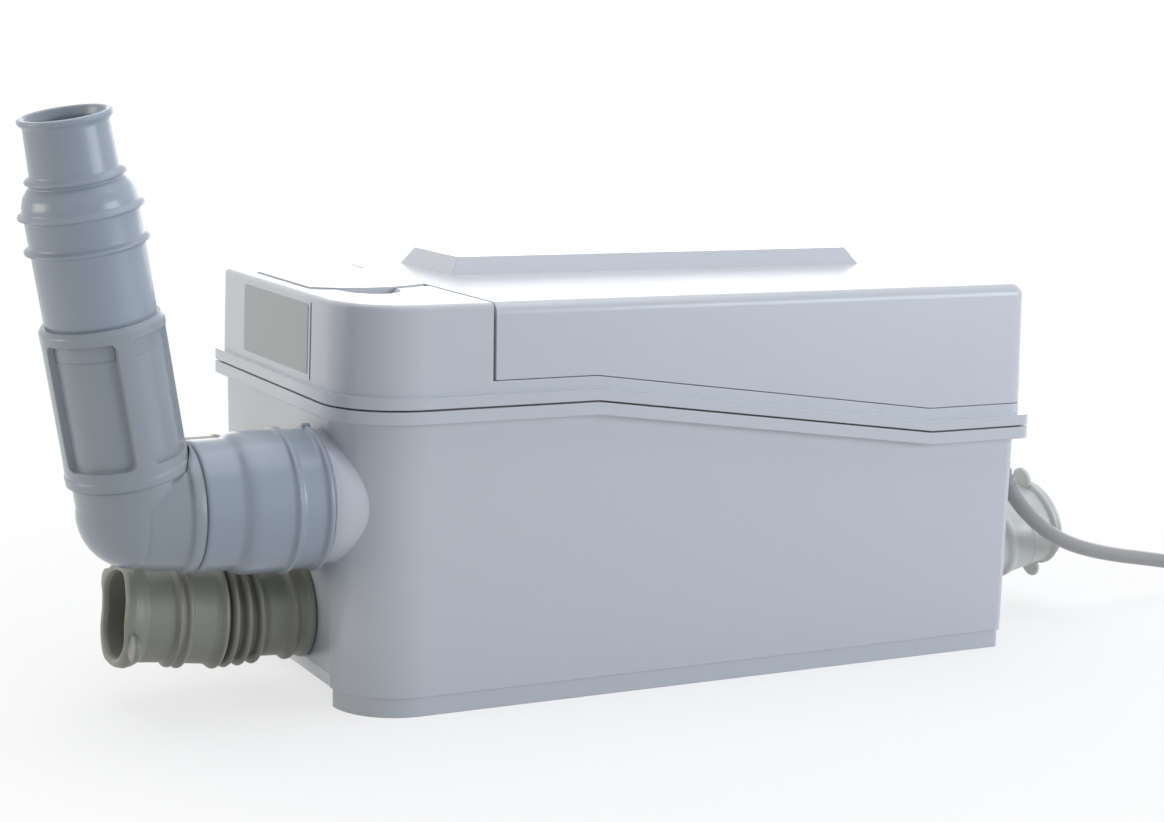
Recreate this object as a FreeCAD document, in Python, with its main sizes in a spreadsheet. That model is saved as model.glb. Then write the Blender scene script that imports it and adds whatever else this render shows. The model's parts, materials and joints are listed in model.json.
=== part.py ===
# Small grey-water lifting unit: a plastic tank on two foot rails with a stepped lid,
# a lift-off motor cover, three inlets, a discharge sleeve with elbow, non-return valve
# and pipe reducer, a pump and motor inside, and a mains cord with its plug.
# Frame: +X right along the front, +Y to the back, +Z up; origin in the middle of the
# face that the foot rails rest on. Millimetres.

import FreeCAD, Part
import math
import os

import Sketcher
from FreeCAD import Placement, Rotation, Vector

doc = FreeCAD.newDocument("LiftingUnit")

SIZES = {
    # Outline from above, the same for tank and lid
    "flange_length": 303.0,
    "flange_width": 155.0,
    "tank_base_length": 292.6,
    "tank_base_width": 144.8,
    "lid_top_length": 297.0,
    "lid_top_width": 148.5,
    "corner_left": 26.0,
    "corner_small": 4.0,
    "lid_corner_small": 6.0,
    "tank_draft": 0.8,
    "lid_draft": 1.0,
    "tank_wall": 3.0,
    "lid_wall": 3.0,
    # Heights above the floor
    "lid_top": 154.0,
    "parting_left": 116.0,
    "parting_right": 95.4,
    "bend_left": -51.0,
    "bend_right": 101.5,
    "tank_flange": 5.2,
    "lid_flange": 4.6,
    "cover_band": 4.6,
    "seal_half": 0.35,
    "seal_width": 3.0,
    "seal_inset": 2.6,
    "plinth_height": 7.4,
    "plinth_step": 1.0,
    "foot_height": 4.5,
    "foot_width": 26.0,
    "foot_pocket": 36.0,
    "floor_top": 7.5,
    "sump_floor": 3.0,
    "end_bevel": 3.0,
    "end_bevel_height": 5.9,
    "edge_round": 2.0,
    "cover_round": 4.4,
    # Lid: seam, deck under the motor cover, access opening and its well
    "seam_x": -93.5,
    "seam_gap": 1.2,
    "deck_top": 100.0,
    "deck_thickness": 3.0,
    "skirt_gap": 0.4,
    "skirt_wall": 2.4,
    "cover_lip_height": 5.0,
    "cover_lip_wall": 2.0,
    "cover_gap": 0.3,
    "cap_x": -118.0,
    "cap_y": 19.5,
    "cap_radius": 38.0,
    "cap_half_width": 23.6,
    "cap_thickness": 3.2,
    "cap_raise": 0.5,
    "cap_gap": 0.6,
    "cap_ledge": 2.4,
    "well_radius": 19.0,
    "well_depth": 26.0,
    "well_wall": 2.0,
    "finger_x": -121.5,
    "finger_half_width": 12.0,
    "finger_reach": 17.5,
    "finger_depth": 4.5,
    "filter_height": 19.0,
    # Plateau on the motor cover
    "plateau_left": -70.5,
    "plateau_right": 126.5,
    "plateau_front": 18.0,
    "plateau_back": 72.0,
    "plateau_height": 7.0,
    "plateau_draft": 33.0,
    # Pump and motor, on one upright axis
    "pump_x": 45.0,
    "pump_y": -11.0,
    "motor_radius": 42.0,
    "motor_wall": 2.5,
    "motor_bottom": 86.3,
    "motor_top": 140.0,
    "motor_well_gap": 2.4,
    "motor_well_wall": 2.4,
    "bearing_radius": 13.0,
    "bearing_height": 7.0,
    "shaft_radius": 5.0,
    "shaft_bottom": 17.5,
    "shaft_play": 0.05,
    "stator_bottom": 101.0,
    "stator_height": 26.0,
    "rotor_radius": 22.0,
    "air_gap": 0.5,
    "winding_height": 4.0,
    "column_radius": 14.5,
    "column_wall": 3.0,
    "volute_radius": 36.0,
    "volute_bottom": 12.0,
    "volute_height": 24.0,
    "volute_wall": 3.0,
    "impeller_radius": 25.0,
    "impeller_bottom": 18.0,
    "vane_height": 7.0,
    "vane_thickness": 2.2,
    "suction_radius": 10.0,
    "nozzle_radius": 10.0,
    "pipe_bore": 7.8,
    # Level switch over its air bell
    "switch_x": -45.0,
    "switch_y": 5.0,
    "switch_radius": 20.0,
    "bell_radius": 12.0,
    "bell_wall": 2.0,
    "bell_bottom": 14.0,
    "plunger_radius": 2.2,
    "plunger_travel": 2.5,
    # Lid screws and their tank posts
    "post_radius": 5.2,
    "post_right_x": 132.0,
    "post_left_x": -75.0,
    "post_y": 62.0,
    "screw_radius": 2.4,
    "screw_head": 4.6,
    # Electrical pieces on the deck
    "capacitor_x": 112.0,
    "capacitor_radius": 14.0,
    "capacitor_length": 54.0,
    "terminal_x": 115.0,
    "terminal_y": -50.0,
    # Discharge side
    "discharge_y": -41.0,
    "discharge_z": 79.5,
    "boss_radius": 25.0,
    "boss_reach": 152.0,
    "outlet_spigot_radius": 22.4,
    "outlet_spigot_wall": 3.0,
    "outlet_spigot_reach": 171.0,
    "sleeve_radius": 26.0,
    "sleeve_end_radius": 23.9,
    "sleeve_gap": 0.2,
    "sleeve_end": 199.3,
    "sleeve_step": 183.0,
    "elbow_x": 219.0,
    "elbow_collar": 5.0,
    "elbow_radius": 20.3,
    "elbow_bell_radius": 23.0,
    "elbow_wall": 3.0,
    "elbow_spigot_radius": 20.4,
    "upright_lean": 10.5,
    "upright_forward": 4.3,
    # Non-return valve and reducer, along the upright from the elbow's corner
    "valve_bottom": 14.4,
    "valve_top": 72.0,
    "valve_radius": 21.9,
    "valve_bore": 16.5,
    "panel_bottom": 21.5,
    "panel_top": 67.2,
    "panel_depth": 2.5,
    "panel_rib": 6.0,
    "panel_round": 2.6,
    "seat_height": 44.0,
    "seat_bore": 11.5,
    "flap_radius": 13.0,
    "flap_thickness": 2.0,
    "reducer_socket": 19.2,
    "reducer_bottom": 61.0,
    "reducer_radius": 19.6,
    "ring_low": 98.8,
    "ring_middle": 111.0,
    "ring_high": 122.8,
    "outlet_radius": 15.0,
    "outlet_bore": 12.9,
    "rim_radius": 16.4,
    "reducer_top": 144.5,
    # Inlets
    "inlet_y": -15.0,
    "inlet_z": 31.5,
    "upper_inlet_y": 38.0,
    "upper_inlet_z": 70.4,
    "spigot_radius": 14.2,
    "spigot_bore": 12.0,
    "spigot_reach": 14.0,
    "spigot_inner": 139.6,
    "sleeve_pivot": 30.0,
    "inlet_sleeve_wall": 2.6,
    "inlet_sleeve_length": 73.0,
    "right_sleeve_length": 58.0,
    "sleeve_lift": 5.0,
    "right_sleeve_lift": 15.0,
    "right_sleeve_yaw": 2.0,
    "mouth_bore": 16.0,
    "mouth_flare": 17.0,
    "inlet_flap_radius": 13.4,
    "hinge_rise": 17.0,
    "hinge_pin_radius": 1.25,
    "upper_cap_radius": 19.8,
    "upper_cap_length": 38.0,
    "ear_radius": 5.2,
    "left_ear_angle": -30.0,
    "right_ear_angle": -6.0,
    # Mains cord
    "gland_y": -50.0,
    "gland_z": 107.4,
    "gland_x": 156.0,
    "gland_radius": 4.8,
    "gland_bottom": 84.0,
    "cord_radius": 3.3,
    "coil_x": 395.0,
    "coil_y": 12.0,
    "coil_outer": 42.0,
    "coil_pitch": 8.2,
    "plug_radius": 17.0,
    "plug_length": 34.0,
    "pin_radius": 2.4,
    "pin_length": 19.0,
    "pin_spacing": 19.0,
}

sheet = doc.addObject("Spreadsheet::Sheet", "Sizes")
for row, (alias, number) in enumerate(SIZES.items(), start=1):
    sheet.set("A%d" % row, str(number))
    sheet.setAlias("A%d" % row, alias)
doc.recompute()


class Dim:
    """A length that carries its number and the sheet expression that gives it."""

    def __init__(self, value, text):
        self.value = float(value)
        self.text = text

    def __add__(self, other):
        other = dim(other)
        return Dim(self.value + other.value, "(%s + %s)" % (self.text, other.text))

    __radd__ = __add__

    def __sub__(self, other):
        other = dim(other)
        return Dim(self.value - other.value, "(%s - %s)" % (self.text, other.text))

    def __rsub__(self, other):
        return dim(other) - self

    def __mul__(self, other):
        other = dim(other)
        return Dim(self.value * other.value, "(%s * %s)" % (self.text, other.text))

    __rmul__ = __mul__

    def __truediv__(self, other):
        other = dim(other)
        return Dim(self.value / other.value, "(%s / %s)" % (self.text, other.text))

    def __neg__(self):
        return Dim(-self.value, "(0 - %s)" % self.text)


def dim(number):
    """A plain number as a Dim, so that both can be mixed."""
    if isinstance(number, Dim):
        return number
    return Dim(number, "(%r)" % float(number))


class Sheet:
    """Every size of the sheet as an attribute."""


S = Sheet()
for alias in SIZES:
    setattr(S, alias, Dim(getattr(sheet, alias), "Sizes." + alias))

X_AXIS = Vector(1, 0, 0)
Y_AXIS = Vector(0, 1, 0)
Z_AXIS = Vector(0, 0, 1)
TURNS = {
    "Z": Rotation(),
    "X": Rotation(Y_AXIS, 90),
    "-X": Rotation(Y_AXIS, -90),
    "Y": Rotation(X_AXIS, -90),
    "-Z": Rotation(X_AXIS, 180),
}
FAR = 400.0


def bind(obj, prop, length):
    """Tie a property to its sheet expression."""
    obj.setExpression(prop, dim(length).text)


def put(obj, at=(0, 0, 0), turn=None):
    """Place an object: its base follows the sheet, its turn is a Rotation."""
    at = [dim(c) for c in at]
    obj.Placement = Placement(Vector(*[c.value for c in at]), turn or Rotation())
    for name, c in zip("xyz", at):
        bind(obj, "Placement.Base." + name, c)
    return obj


def box(name, x0, x1, y0, y1, z0, z1):
    obj = doc.addObject("Part::Box", name)
    bind(obj, "Length", dim(x1) - x0)
    bind(obj, "Width", dim(y1) - y0)
    bind(obj, "Height", dim(z1) - z0)
    return put(obj, (x0, y0, z0))


def cylinder(name, radius, length, at=(0, 0, 0), axis="Z"):
    obj = doc.addObject("Part::Cylinder", name)
    bind(obj, "Radius", radius)
    bind(obj, "Height", length)
    return put(obj, at, TURNS[axis])


def cone(name, radius_1, radius_2, length, at=(0, 0, 0), axis="Z"):
    obj = doc.addObject("Part::Cone", name)
    bind(obj, "Radius1", radius_1)
    bind(obj, "Radius2", radius_2)
    bind(obj, "Height", length)
    return put(obj, at, TURNS[axis])


def sphere(name, radius, at=(0, 0, 0)):
    obj = doc.addObject("Part::Sphere", name)
    bind(obj, "Radius", radius)
    return put(obj, at)


def fuse(name, *items):
    obj = doc.addObject("Part::MultiFuse", name)
    obj.Shapes = list(items)
    obj.Refine = True
    return obj


def cut(name, base, *tools):
    for i, tool in enumerate(tools, start=1):
        obj = doc.addObject("Part::Cut", name if i == len(tools) else "%s_step_%d" % (name, i))
        obj.Base = base
        obj.Tool = tool
        obj.Refine = True
        base = obj
    return base


def common(name, first, second):
    obj = doc.addObject("Part::Common", name)
    obj.Base = first
    obj.Tool = second
    obj.Refine = True
    return obj


def group(name, *items):
    """Separate solids of one kind in one node."""
    obj = doc.addObject("Part::Compound", name)
    obj.Links = list(items)
    return obj


def new_sketch(body, name, role, lift=0):
    sketch = body.newObject("Sketcher::SketchObject", name)
    plane = [f for f in body.Origin.OriginFeatures if f.Role == role][0]
    sketch.AttachmentSupport = [(plane, "")]
    sketch.MapMode = "FlatFace"
    lift = dim(lift)
    if lift.value:
        sketch.AttachmentOffset = Placement(Vector(0, 0, lift.value), Rotation())
        bind(sketch, "AttachmentOffset.Base.z", lift)
    return sketch


def pin_point(sketch, geometry, position, x, y):
    """Fix a point of a sketch at sheet lengths from the origin."""
    for kind, axis, length in (("DistanceX", -2, dim(x)), ("DistanceY", -1, dim(y))):
        if abs(length.value) < 1e-9:
            sketch.addConstraint(Sketcher.Constraint("PointOnObject", geometry, position, axis))
            continue
        index = sketch.addConstraint(
            Sketcher.Constraint(kind, -1, 1, geometry, position, length.value))
        bind(sketch, "Constraints[%d]" % index, length)


def polygon(sketch, points):
    """A closed outline of straight edges through the points."""
    points = [(dim(a), dim(b)) for a, b in points]
    count = len(points)
    for i, (a, b) in enumerate(points):
        c, d = points[(i + 1) % count]
        start = Vector(a.value, b.value, 0)
        end = Vector(c.value, d.value, 0)
        sketch.addGeometry(Part.LineSegment(start, end), False)
    for i in range(count):
        sketch.addConstraint(Sketcher.Constraint("Coincident", i, 2, (i + 1) % count, 1))
    for i, (a, b) in enumerate(points):
        pin_point(sketch, i, 1, a, b)


def revolved(name, points, at=(0, 0, 0), axis="Z", turn=None):
    """A body turned from a profile of (radius, height) points."""
    body = doc.addObject("PartDesign::Body", name)
    sketch = new_sketch(body, name + "_profile", "XZ_Plane")
    polygon(sketch, points)
    turned = body.newObject("PartDesign::Revolution", name + "_turned")
    turned.Profile = sketch
    turned.ReferenceAxis = (sketch, ["V_Axis"])
    turned.Angle = 360
    return put(body, at, turn or TURNS[axis])


def slab(name, points, half_width):
    """A body with an outline in X and Z, as wide as asked to both sides of Y = 0."""
    body = doc.addObject("PartDesign::Body", name)
    sketch = new_sketch(body, name + "_outline", "XZ_Plane")
    polygon(sketch, points)
    pad = body.newObject("PartDesign::Pad", name + "_pad")
    pad.Profile = sketch
    bind(pad, "Length", dim(half_width) * 2)
    pad.Midplane = True
    return body


def plan(name, half_x, half_y, left, right, low, high, draft=0, round_top=None):
    """A rounded rectangle from above, drafted upwards: a wide front left corner, three small ones."""
    half_x, half_y, left, right = dim(half_x), dim(half_y), dim(left), dim(right)
    body = doc.addObject("PartDesign::Body", name)
    sketch = new_sketch(body, name + "_outline", "XY_Plane", low)
    corners = [(-half_x + left, -half_y + left, left, 180),
               (half_x - right, -half_y + right, right, 270),
               (half_x - right, half_y - right, right, 0),
               (-half_x + right, half_y - right, right, 90)]
    ends = []
    for cx, cy, radius, start in corners:
        for angle in (start, start + 90):
            ends.append((cx + radius * round(math.cos(math.radians(angle))),
                         cy + radius * round(math.sin(math.radians(angle)))))
    for i, (cx, cy, radius, start) in enumerate(corners):
        circle = Part.Circle(Vector(cx.value, cy.value, 0), Z_AXIS, radius.value)
        sketch.addGeometry(Part.ArcOfCircle(circle, math.radians(start), math.radians(start + 90)), False)
        a, b = ends[2 * i + 1], ends[(2 * i + 2) % 8]
        sketch.addGeometry(Part.LineSegment(Vector(a[0].value, a[1].value, 0),
                                            Vector(b[0].value, b[1].value, 0)), False)
    for i, (cx, cy, radius, start) in enumerate(corners):
        sketch.addConstraint(Sketcher.Constraint("Coincident", 2 * i, 2, 2 * i + 1, 1))
        sketch.addConstraint(Sketcher.Constraint("Coincident", 2 * i + 1, 2, (2 * i + 2) % 8, 1))
        pin_point(sketch, 2 * i + 1, 1, *ends[2 * i + 1])
        pin_point(sketch, 2 * i + 1, 2, *ends[(2 * i + 2) % 8])
        index = sketch.addConstraint(Sketcher.Constraint("Radius", 2 * i, radius.value))
        bind(sketch, "Constraints[%d]" % index, radius)
    pad = body.newObject("PartDesign::Pad", name + "_pad")
    pad.Profile = sketch
    bind(pad, "Length", dim(high) - low)
    draft = dim(draft)
    if draft.value:
        bind(pad, "TaperAngle", draft)
    if round_top is not None:
        doc.recompute()
        top = pad.Shape.BoundBox.ZMax
        names = ["Edge%d" % (i + 1) for i, edge in enumerate(pad.Shape.Edges)
                 if edge.BoundBox.ZMin > top - 1e-4]
        fillet = body.newObject("PartDesign::Fillet", name + "_round")
        fillet.Base = (pad, names)
        bind(fillet, "Radius", round_top)
        body.Tip = fillet
    return body


NODES = []


def node(obj, label, at=None, turn=None):
    """Give a finished piece its own name and place."""
    obj.Label = label
    NODES.append(obj)
    if at is not None:
        put(obj, at, turn)
    return obj


def parting_line(offset, right_end=FAR, left_end=-FAR):
    """The line where tank and lid meet, seen from the front, raised by an offset."""
    return [(left_end, S.parting_left + offset), (S.bend_left, S.parting_left + offset),
            (S.bend_right, S.parting_right + offset), (right_end, S.parting_right + offset)]


def band(name, low, high):
    """The space between two lines that follow the parting line."""
    return slab(name, parting_line(low) + parting_line(high)[::-1], FAR)


def above(name, offset, left_end=-FAR):
    """All that is over a line that follows the parting line."""
    line = parting_line(offset, left_end=left_end)
    return slab(name, line + [(FAR, FAR), (left_end, FAR)], FAR)


# Tank: drafted shell, plinth on two foot rails, flange under the parting line

TANK_HIGH = S.parting_left + 6
half_length = S.tank_base_length / 2
half_width = S.tank_base_width / 2
flange_x = S.flange_length / 2
flange_y = S.flange_width / 2
flange_left = S.corner_left + 3.5
flange_right = S.corner_small + 0.5

tank_shell = plan("tank_shell", half_length, half_width, S.corner_left, S.corner_small,
                  S.plinth_height, TANK_HIGH, S.tank_draft)
tank_trim = slab("tank_trim", parting_line(-S.seal_half) + [(FAR, -FAR), (-FAR, -FAR)], FAR)
tank_sides = common("tank_sides", tank_shell, tank_trim)
tank_plinth = plan("tank_plinth", half_length - S.plinth_step, half_width - S.plinth_step,
                   S.corner_left - S.plinth_step, S.corner_small - S.plinth_step, 0, S.plinth_height)
tank_rim = common("tank_rim", plan("tank_rim_plan", flange_x, flange_y, flange_left, flange_right,
                                   S.parting_right - 20, TANK_HIGH),
                  band("tank_rim_band", -S.tank_flange, -S.seal_half))
tank_cavity = plan("tank_cavity", half_length - S.tank_wall, half_width - S.tank_wall,
                   S.corner_left - S.tank_wall, S.corner_small - S.tank_wall,
                   S.floor_top, TANK_HIGH + 4, S.tank_draft)
pocket_y = half_width - S.foot_width
pocket_x = half_length - S.foot_pocket
pocket_left = box("pocket_left", -FAR, -pocket_x, -pocket_y, pocket_y, -1, S.foot_height)
pocket_right = box("pocket_right", pocket_x, FAR, -pocket_y, pocket_y, -1, S.foot_height)
sump_x = pocket_x - S.tank_wall
sump_y = half_width - S.plinth_step - S.tank_wall
sump = box("sump", -sump_x, sump_x, -sump_y, sump_y, S.sump_floor, S.floor_top + 1)


def end_bevel(name, side):
    """The slanting lower edge of an end wall between the rails."""
    edge = half_length - S.plinth_step
    low = S.foot_height - 0.1
    slope = S.end_bevel_height / S.end_bevel
    points = [((edge + 2) * side, low), ((edge - S.end_bevel) * side, low),
              ((edge + 2) * side, low + slope * (S.end_bevel + 2))]
    return slab(name, points, half_width - S.foot_width)


outlet_boss = revolved("outlet_boss", [
    (0, half_length - 20), (S.boss_radius, half_length - 20), (S.boss_radius, half_length + 0.6),
    (S.boss_radius - 0.2, half_length + 2.6), (S.boss_radius - 0.7, S.boss_reach - 1.0),
    (S.boss_radius - 1.6, S.boss_reach), (S.outlet_spigot_radius, S.boss_reach),
    (S.outlet_spigot_radius, S.outlet_spigot_reach - 1.5),
    (S.outlet_spigot_radius - 1.2, S.outlet_spigot_reach), (0, S.outlet_spigot_reach)],
    (0, S.discharge_y, S.discharge_z), "-X")
outlet_bore = cylinder("outlet_bore", S.outlet_spigot_radius - S.outlet_spigot_wall, 60,
                       (-(half_length - 22), S.discharge_y, S.discharge_z), "-X")

INLETS = {
    "left": (-1, S.inlet_y, S.inlet_z, S.spigot_radius, S.spigot_bore),
    "right": (1, S.inlet_y, S.inlet_z, S.spigot_radius, S.spigot_bore),
    "upper": (-1, S.upper_inlet_y, S.upper_inlet_z, S.spigot_radius + 2.6, S.spigot_bore),
}
LUG_REACH = 13.0
LUG_THICK = 3.0
LUG_HALF = 3.2
hinge_x = S.spigot_inner - 1.4

spigots = []
bores = []
lugs = []
lug_holes = []
for name, (side, y, z, radius, bore) in INLETS.items():
    axis = "X" if side > 0 else "-X"
    spigots.append(cylinder("spigot_" + name, S.spigot_radius, half_length + S.spigot_reach - S.spigot_inner,
                            (S.spigot_inner * side, y, z), axis))
    if radius.value > S.spigot_radius.value:
        spigots.append(cylinder("spigot_wide_" + name, radius, S.spigot_reach + 1,
                                ((half_length - 1) * side, y, z), axis))
    bores.append(cylinder("spigot_bore_" + name, bore, 60, ((S.spigot_inner - 5) * side, y, z), axis))
    for hand in (-1, 1):
        y0 = y + hand * LUG_REACH - (LUG_THICK if hand < 0 else 0)
        wall_x = (half_length - S.tank_wall / 2) * side
        tip_x = (hinge_x - LUG_HALF) * side
        x0, x1 = (wall_x, tip_x) if side < 0 else (tip_x, wall_x)
        lugs.append(box("lug_%s_%d" % (name, hand + 1), x0, x1, y0, y0 + LUG_THICK,
                        z + S.hinge_rise - LUG_HALF, z + S.hinge_rise + LUG_HALF))
    lug_holes.append(cylinder("lug_hole_" + name, S.hinge_pin_radius + 0.02, 2 * (LUG_REACH + LUG_THICK) + 2,
                              (hinge_x * side, y - LUG_REACH - LUG_THICK - 1, z + S.hinge_rise), "Y"))

posts = []
post_holes = []
POSTS = [(S.post_right_x, S.post_y), (S.post_right_x, -S.post_y),
         (S.post_left_x, S.post_y), (S.post_left_x, -S.post_y)]
for i, (x, y) in enumerate(POSTS):
    post_high = (S.parting_right + S.seal_half if x.value > 0 else S.deck_top - S.deck_thickness) - 0.3
    post_low = S.floor_top - 1 if x.value > pocket_x.value else S.sump_floor - 1
    posts.append(cylinder("post_%d" % i, S.post_radius, post_high - post_low, (x, y, post_low)))
    post_holes.append(cylinder("post_hole_%d" % i, S.screw_radius + 0.1, 16, (x, y, post_high - 15)))

tank_hollow = cut("tank_hollow", fuse("tank_solid", tank_sides, tank_plinth, tank_rim, outlet_boss),
                  fuse("tank_room", tank_cavity, sump))
tank = cut("tank_cut", fuse("tank_fitted", tank_hollow, *spigots, *lugs, *posts),
           pocket_left, pocket_right, end_bevel("bevel_left", -1), end_bevel("bevel_right", 1),
           outlet_bore, *bores, *lug_holes, *post_holes)
node(tank, "tank")

# Lid seal: a gasket in the gap between the two flanges

seal_x = flange_x - S.seal_inset
seal_y = flange_y - S.seal_inset
seal_ring = cut("seal_ring",
                plan("seal_outer", seal_x, seal_y, flange_left - S.seal_inset,
                     flange_right * 0.5, S.parting_right - 5, TANK_HIGH),
                plan("seal_inner", seal_x - S.seal_width, seal_y - S.seal_width,
                     flange_left - S.seal_inset - S.seal_width,
                     flange_right * 0.25, S.parting_right - 6, TANK_HIGH + 1))
node(common("seal_strip", seal_ring, band("seal_band", -S.seal_half, S.seal_half)), "lid_seal")

# Tank lid: flange, raised left part, band under the motor cover, skirt, deck and wells

lid_x = S.lid_top_length / 2
lid_y = S.lid_top_width / 2
lid_low = S.parting_right - 4
lid_left = S.corner_left
lid_right = S.lid_corner_small


def lid_block(name, inset, high, round_top=None):
    """The lid's outline, drawn in by an inset; it leans in towards its top."""
    run = (S.lid_top - lid_low) * math.tan(math.radians(S.lid_draft.value))
    return plan(name, lid_x - inset + run, lid_y - inset + run, lid_left - inset + run,
                lid_right - inset * 0.8 + run, lid_low, high, -S.lid_draft, round_top)


lid_edge = S.seam_x - S.seam_gap / 2
cover_line = S.lid_flange + S.cover_band
lid_flange = common("lid_flange", plan("lid_flange_plan", flange_x, flange_y, flange_left, flange_right,
                                       S.parting_right - 2, TANK_HIGH + 8),
                    band("lid_flange_band", S.seal_half, S.lid_flange))
lid_left_part = common("lid_left_part", lid_block("lid_outer", 0, S.lid_top, S.edge_round),
                       slab("lid_left_slab", [(-FAR, S.parting_left + S.seal_half),
                                              (lid_edge, S.parting_left + S.seal_half),
                                              (lid_edge, FAR), (-FAR, FAR)], FAR))
lid_band = common("lid_band", lid_block("lid_band_block", 0, S.lid_top),
                  band("lid_band_slab", S.seal_half, cover_line))
lip_inset = S.lid_wall + S.cover_gap
lip_top = cover_line + S.cover_lip_height
lid_lip = common("lid_lip", lid_block("lid_lip_block", lip_inset, S.lid_top),
                 slab("lid_lip_slab",
                      [(lid_edge - 1, S.parting_left + S.seal_half),
                       (S.bend_left, S.parting_left + S.seal_half),
                       (S.bend_right, S.parting_right + S.seal_half), (FAR, S.parting_right + S.seal_half),
                       (FAR, S.parting_right + lip_top), (S.bend_right, S.parting_right + lip_top),
                       (S.bend_left, S.parting_left + lip_top), (lid_edge - 1, S.parting_left + lip_top)],
                       FAR))
skirt_inset = S.tank_wall + S.skirt_gap
skirt_low = S.deck_top - S.deck_thickness
lid_skirt = common("lid_skirt", plan("skirt_plan", half_length - skirt_inset, half_width - skirt_inset,
                                     S.corner_left - skirt_inset, S.corner_small - skirt_inset * 0.8,
                                     skirt_low, TANK_HIGH + 8, S.tank_draft / 2),
                   slab("skirt_slab", [(-FAR, skirt_low)] + parting_line(S.lid_flange)
                        + [(FAR, skirt_low)], FAR))
lid_outer = fuse("lid_outer_all", lid_flange, lid_left_part, lid_band, lid_lip, lid_skirt)

# The lid's hollow: open under the raised left part, open over the deck
inner_inset = lip_inset + S.cover_lip_wall
lid_hollow = fuse("lid_hollow",
                  common("hollow_left", lid_block("hollow_left_block", S.lid_wall, S.lid_top - S.lid_wall),
                         box("hollow_left_box", -FAR, lid_edge - S.lid_wall, -FAR, FAR,
                             S.parting_left + S.seal_half, FAR)),
                  common("hollow_right", lid_block("hollow_right_block", inner_inset, S.lid_top),
                         box("hollow_right_box", lid_edge, FAR, -FAR, FAR, S.deck_top, FAR)),
                  common("hollow_low", plan("hollow_low_plan", half_length - skirt_inset - S.skirt_wall,
                                            half_width - skirt_inset - S.skirt_wall,
                                            S.corner_left - skirt_inset - S.skirt_wall,
                                            2.5, skirt_low - 1, S.lid_top - 10, S.tank_draft / 2),
                         fuse("hollow_low_parts",
                              box("hollow_low_left", -FAR, lid_edge - S.lid_wall, -FAR, FAR, skirt_low - 1,
                                  S.parting_left + 2),
                              box("hollow_low_right", lid_edge, FAR, -FAR, FAR, S.deck_top, TANK_HIGH + 8))))
deck_room = box("deck_room", lid_edge - S.lid_wall - 0.01, lid_edge, -FAR, FAR, skirt_low - 2, skirt_low)

# Motor well: a round cup in the deck that the motor stands in
well_radius = S.motor_radius + S.motor_well_gap
motor_cup = cylinder("motor_cup", well_radius + S.motor_well_wall,
                     S.deck_top - S.motor_bottom + S.deck_thickness,
                     (S.pump_x, S.pump_y, S.motor_bottom - S.deck_thickness))
motor_room = cylinder("motor_room", well_radius, 60, (S.pump_x, S.pump_y, S.motor_bottom))
seal_seat = cylinder("seal_seat", 9.05, 20, (S.pump_x, S.pump_y, S.motor_bottom - 10))
bell_hole = cylinder("bell_hole", S.bell_radius - S.bell_wall, 20, (S.switch_x, S.switch_y, S.deck_top - 15))

# Filter well under the access opening
cap_top = S.lid_top + S.cap_raise
filter_well = cylinder("filter_well", S.well_radius + S.well_wall, S.well_depth,
                       (S.cap_x, S.cap_y, S.lid_top - S.lid_wall - S.well_depth + 1))
filter_room = cylinder("filter_room", S.well_radius, FAR,
                       (S.cap_x, S.cap_y, S.lid_top - S.lid_wall - S.well_depth + 1 + S.well_wall))


well_rib = box("well_rib", -(lid_x - 1.5), lid_edge - 1.5, S.cap_y - 1.5, S.cap_y + 1.5,
               S.lid_top - S.lid_wall - S.well_depth + 2, S.lid_top - S.lid_wall - 4)


def cap_outline(name, grow, low, high):
    """The access cap's outline: a disc with its two sides cut straight."""
    disc = cylinder(name + "_disc", S.cap_radius + grow, dim(high) - low, (S.cap_x, S.cap_y, low))
    sides = box(name + "_sides", S.cap_x - S.cap_half_width - grow, S.cap_x + S.cap_half_width + grow,
                -FAR, FAR, low, high)
    return common(name, disc, sides)


cap_low = cap_top - S.cap_thickness
cap_recess = cap_outline("cap_recess", S.cap_gap, cap_low - 0.1, S.lid_top + 5)
cap_opening = cap_outline("cap_opening", -S.cap_ledge, cap_low - 3.4, S.lid_top + 5)
cap_seat = cap_outline("cap_seat", S.cap_gap + 2.0, S.lid_top - S.lid_wall - 1.6, S.lid_top - 1)
finger = doc.addObject("Part::Ellipsoid", "finger_recess")
bind(finger, "Radius1", S.finger_depth)
bind(finger, "Radius2", S.finger_half_width)
bind(finger, "Radius3", S.finger_reach)
put(finger, (S.finger_x, S.cap_y - S.cap_radius, S.lid_top + 0.6))
finger_boss = doc.addObject("Part::Ellipsoid", "finger_boss")
bind(finger_boss, "Radius1", S.finger_depth + 2.0)
bind(finger_boss, "Radius2", S.finger_half_width + 2.0)
bind(finger_boss, "Radius3", S.finger_reach + 2.0)
put(finger_boss, (S.finger_x, S.cap_y - S.cap_radius, S.lid_top + 0.6))
finger_under = common("finger_under", finger_boss,
                      box("finger_box", -FAR, FAR, -FAR, FAR, S.lid_top - 20, S.lid_top - 1))
latch_notch = box("latch_notch", lid_edge - 2.2, lid_edge + 1, -14.5, -9.5, S.lid_top - 4, S.lid_top + 1)
well_holes = [cylinder("well_hole_%d" % i, 3.0, 10,
                       (S.cap_x + 9.5 * math.cos(math.radians(60 * i)),
                        S.cap_y + 9.5 * math.sin(math.radians(60 * i)),
                        S.lid_top - S.lid_wall - S.well_depth - 4)) for i in range(6)]
gland_hole_z = S.gland_z
gland_hole = cylinder("gland_hole", S.gland_radius, 30, (S.gland_x - 26, S.gland_y, gland_hole_z), "X")

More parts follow.
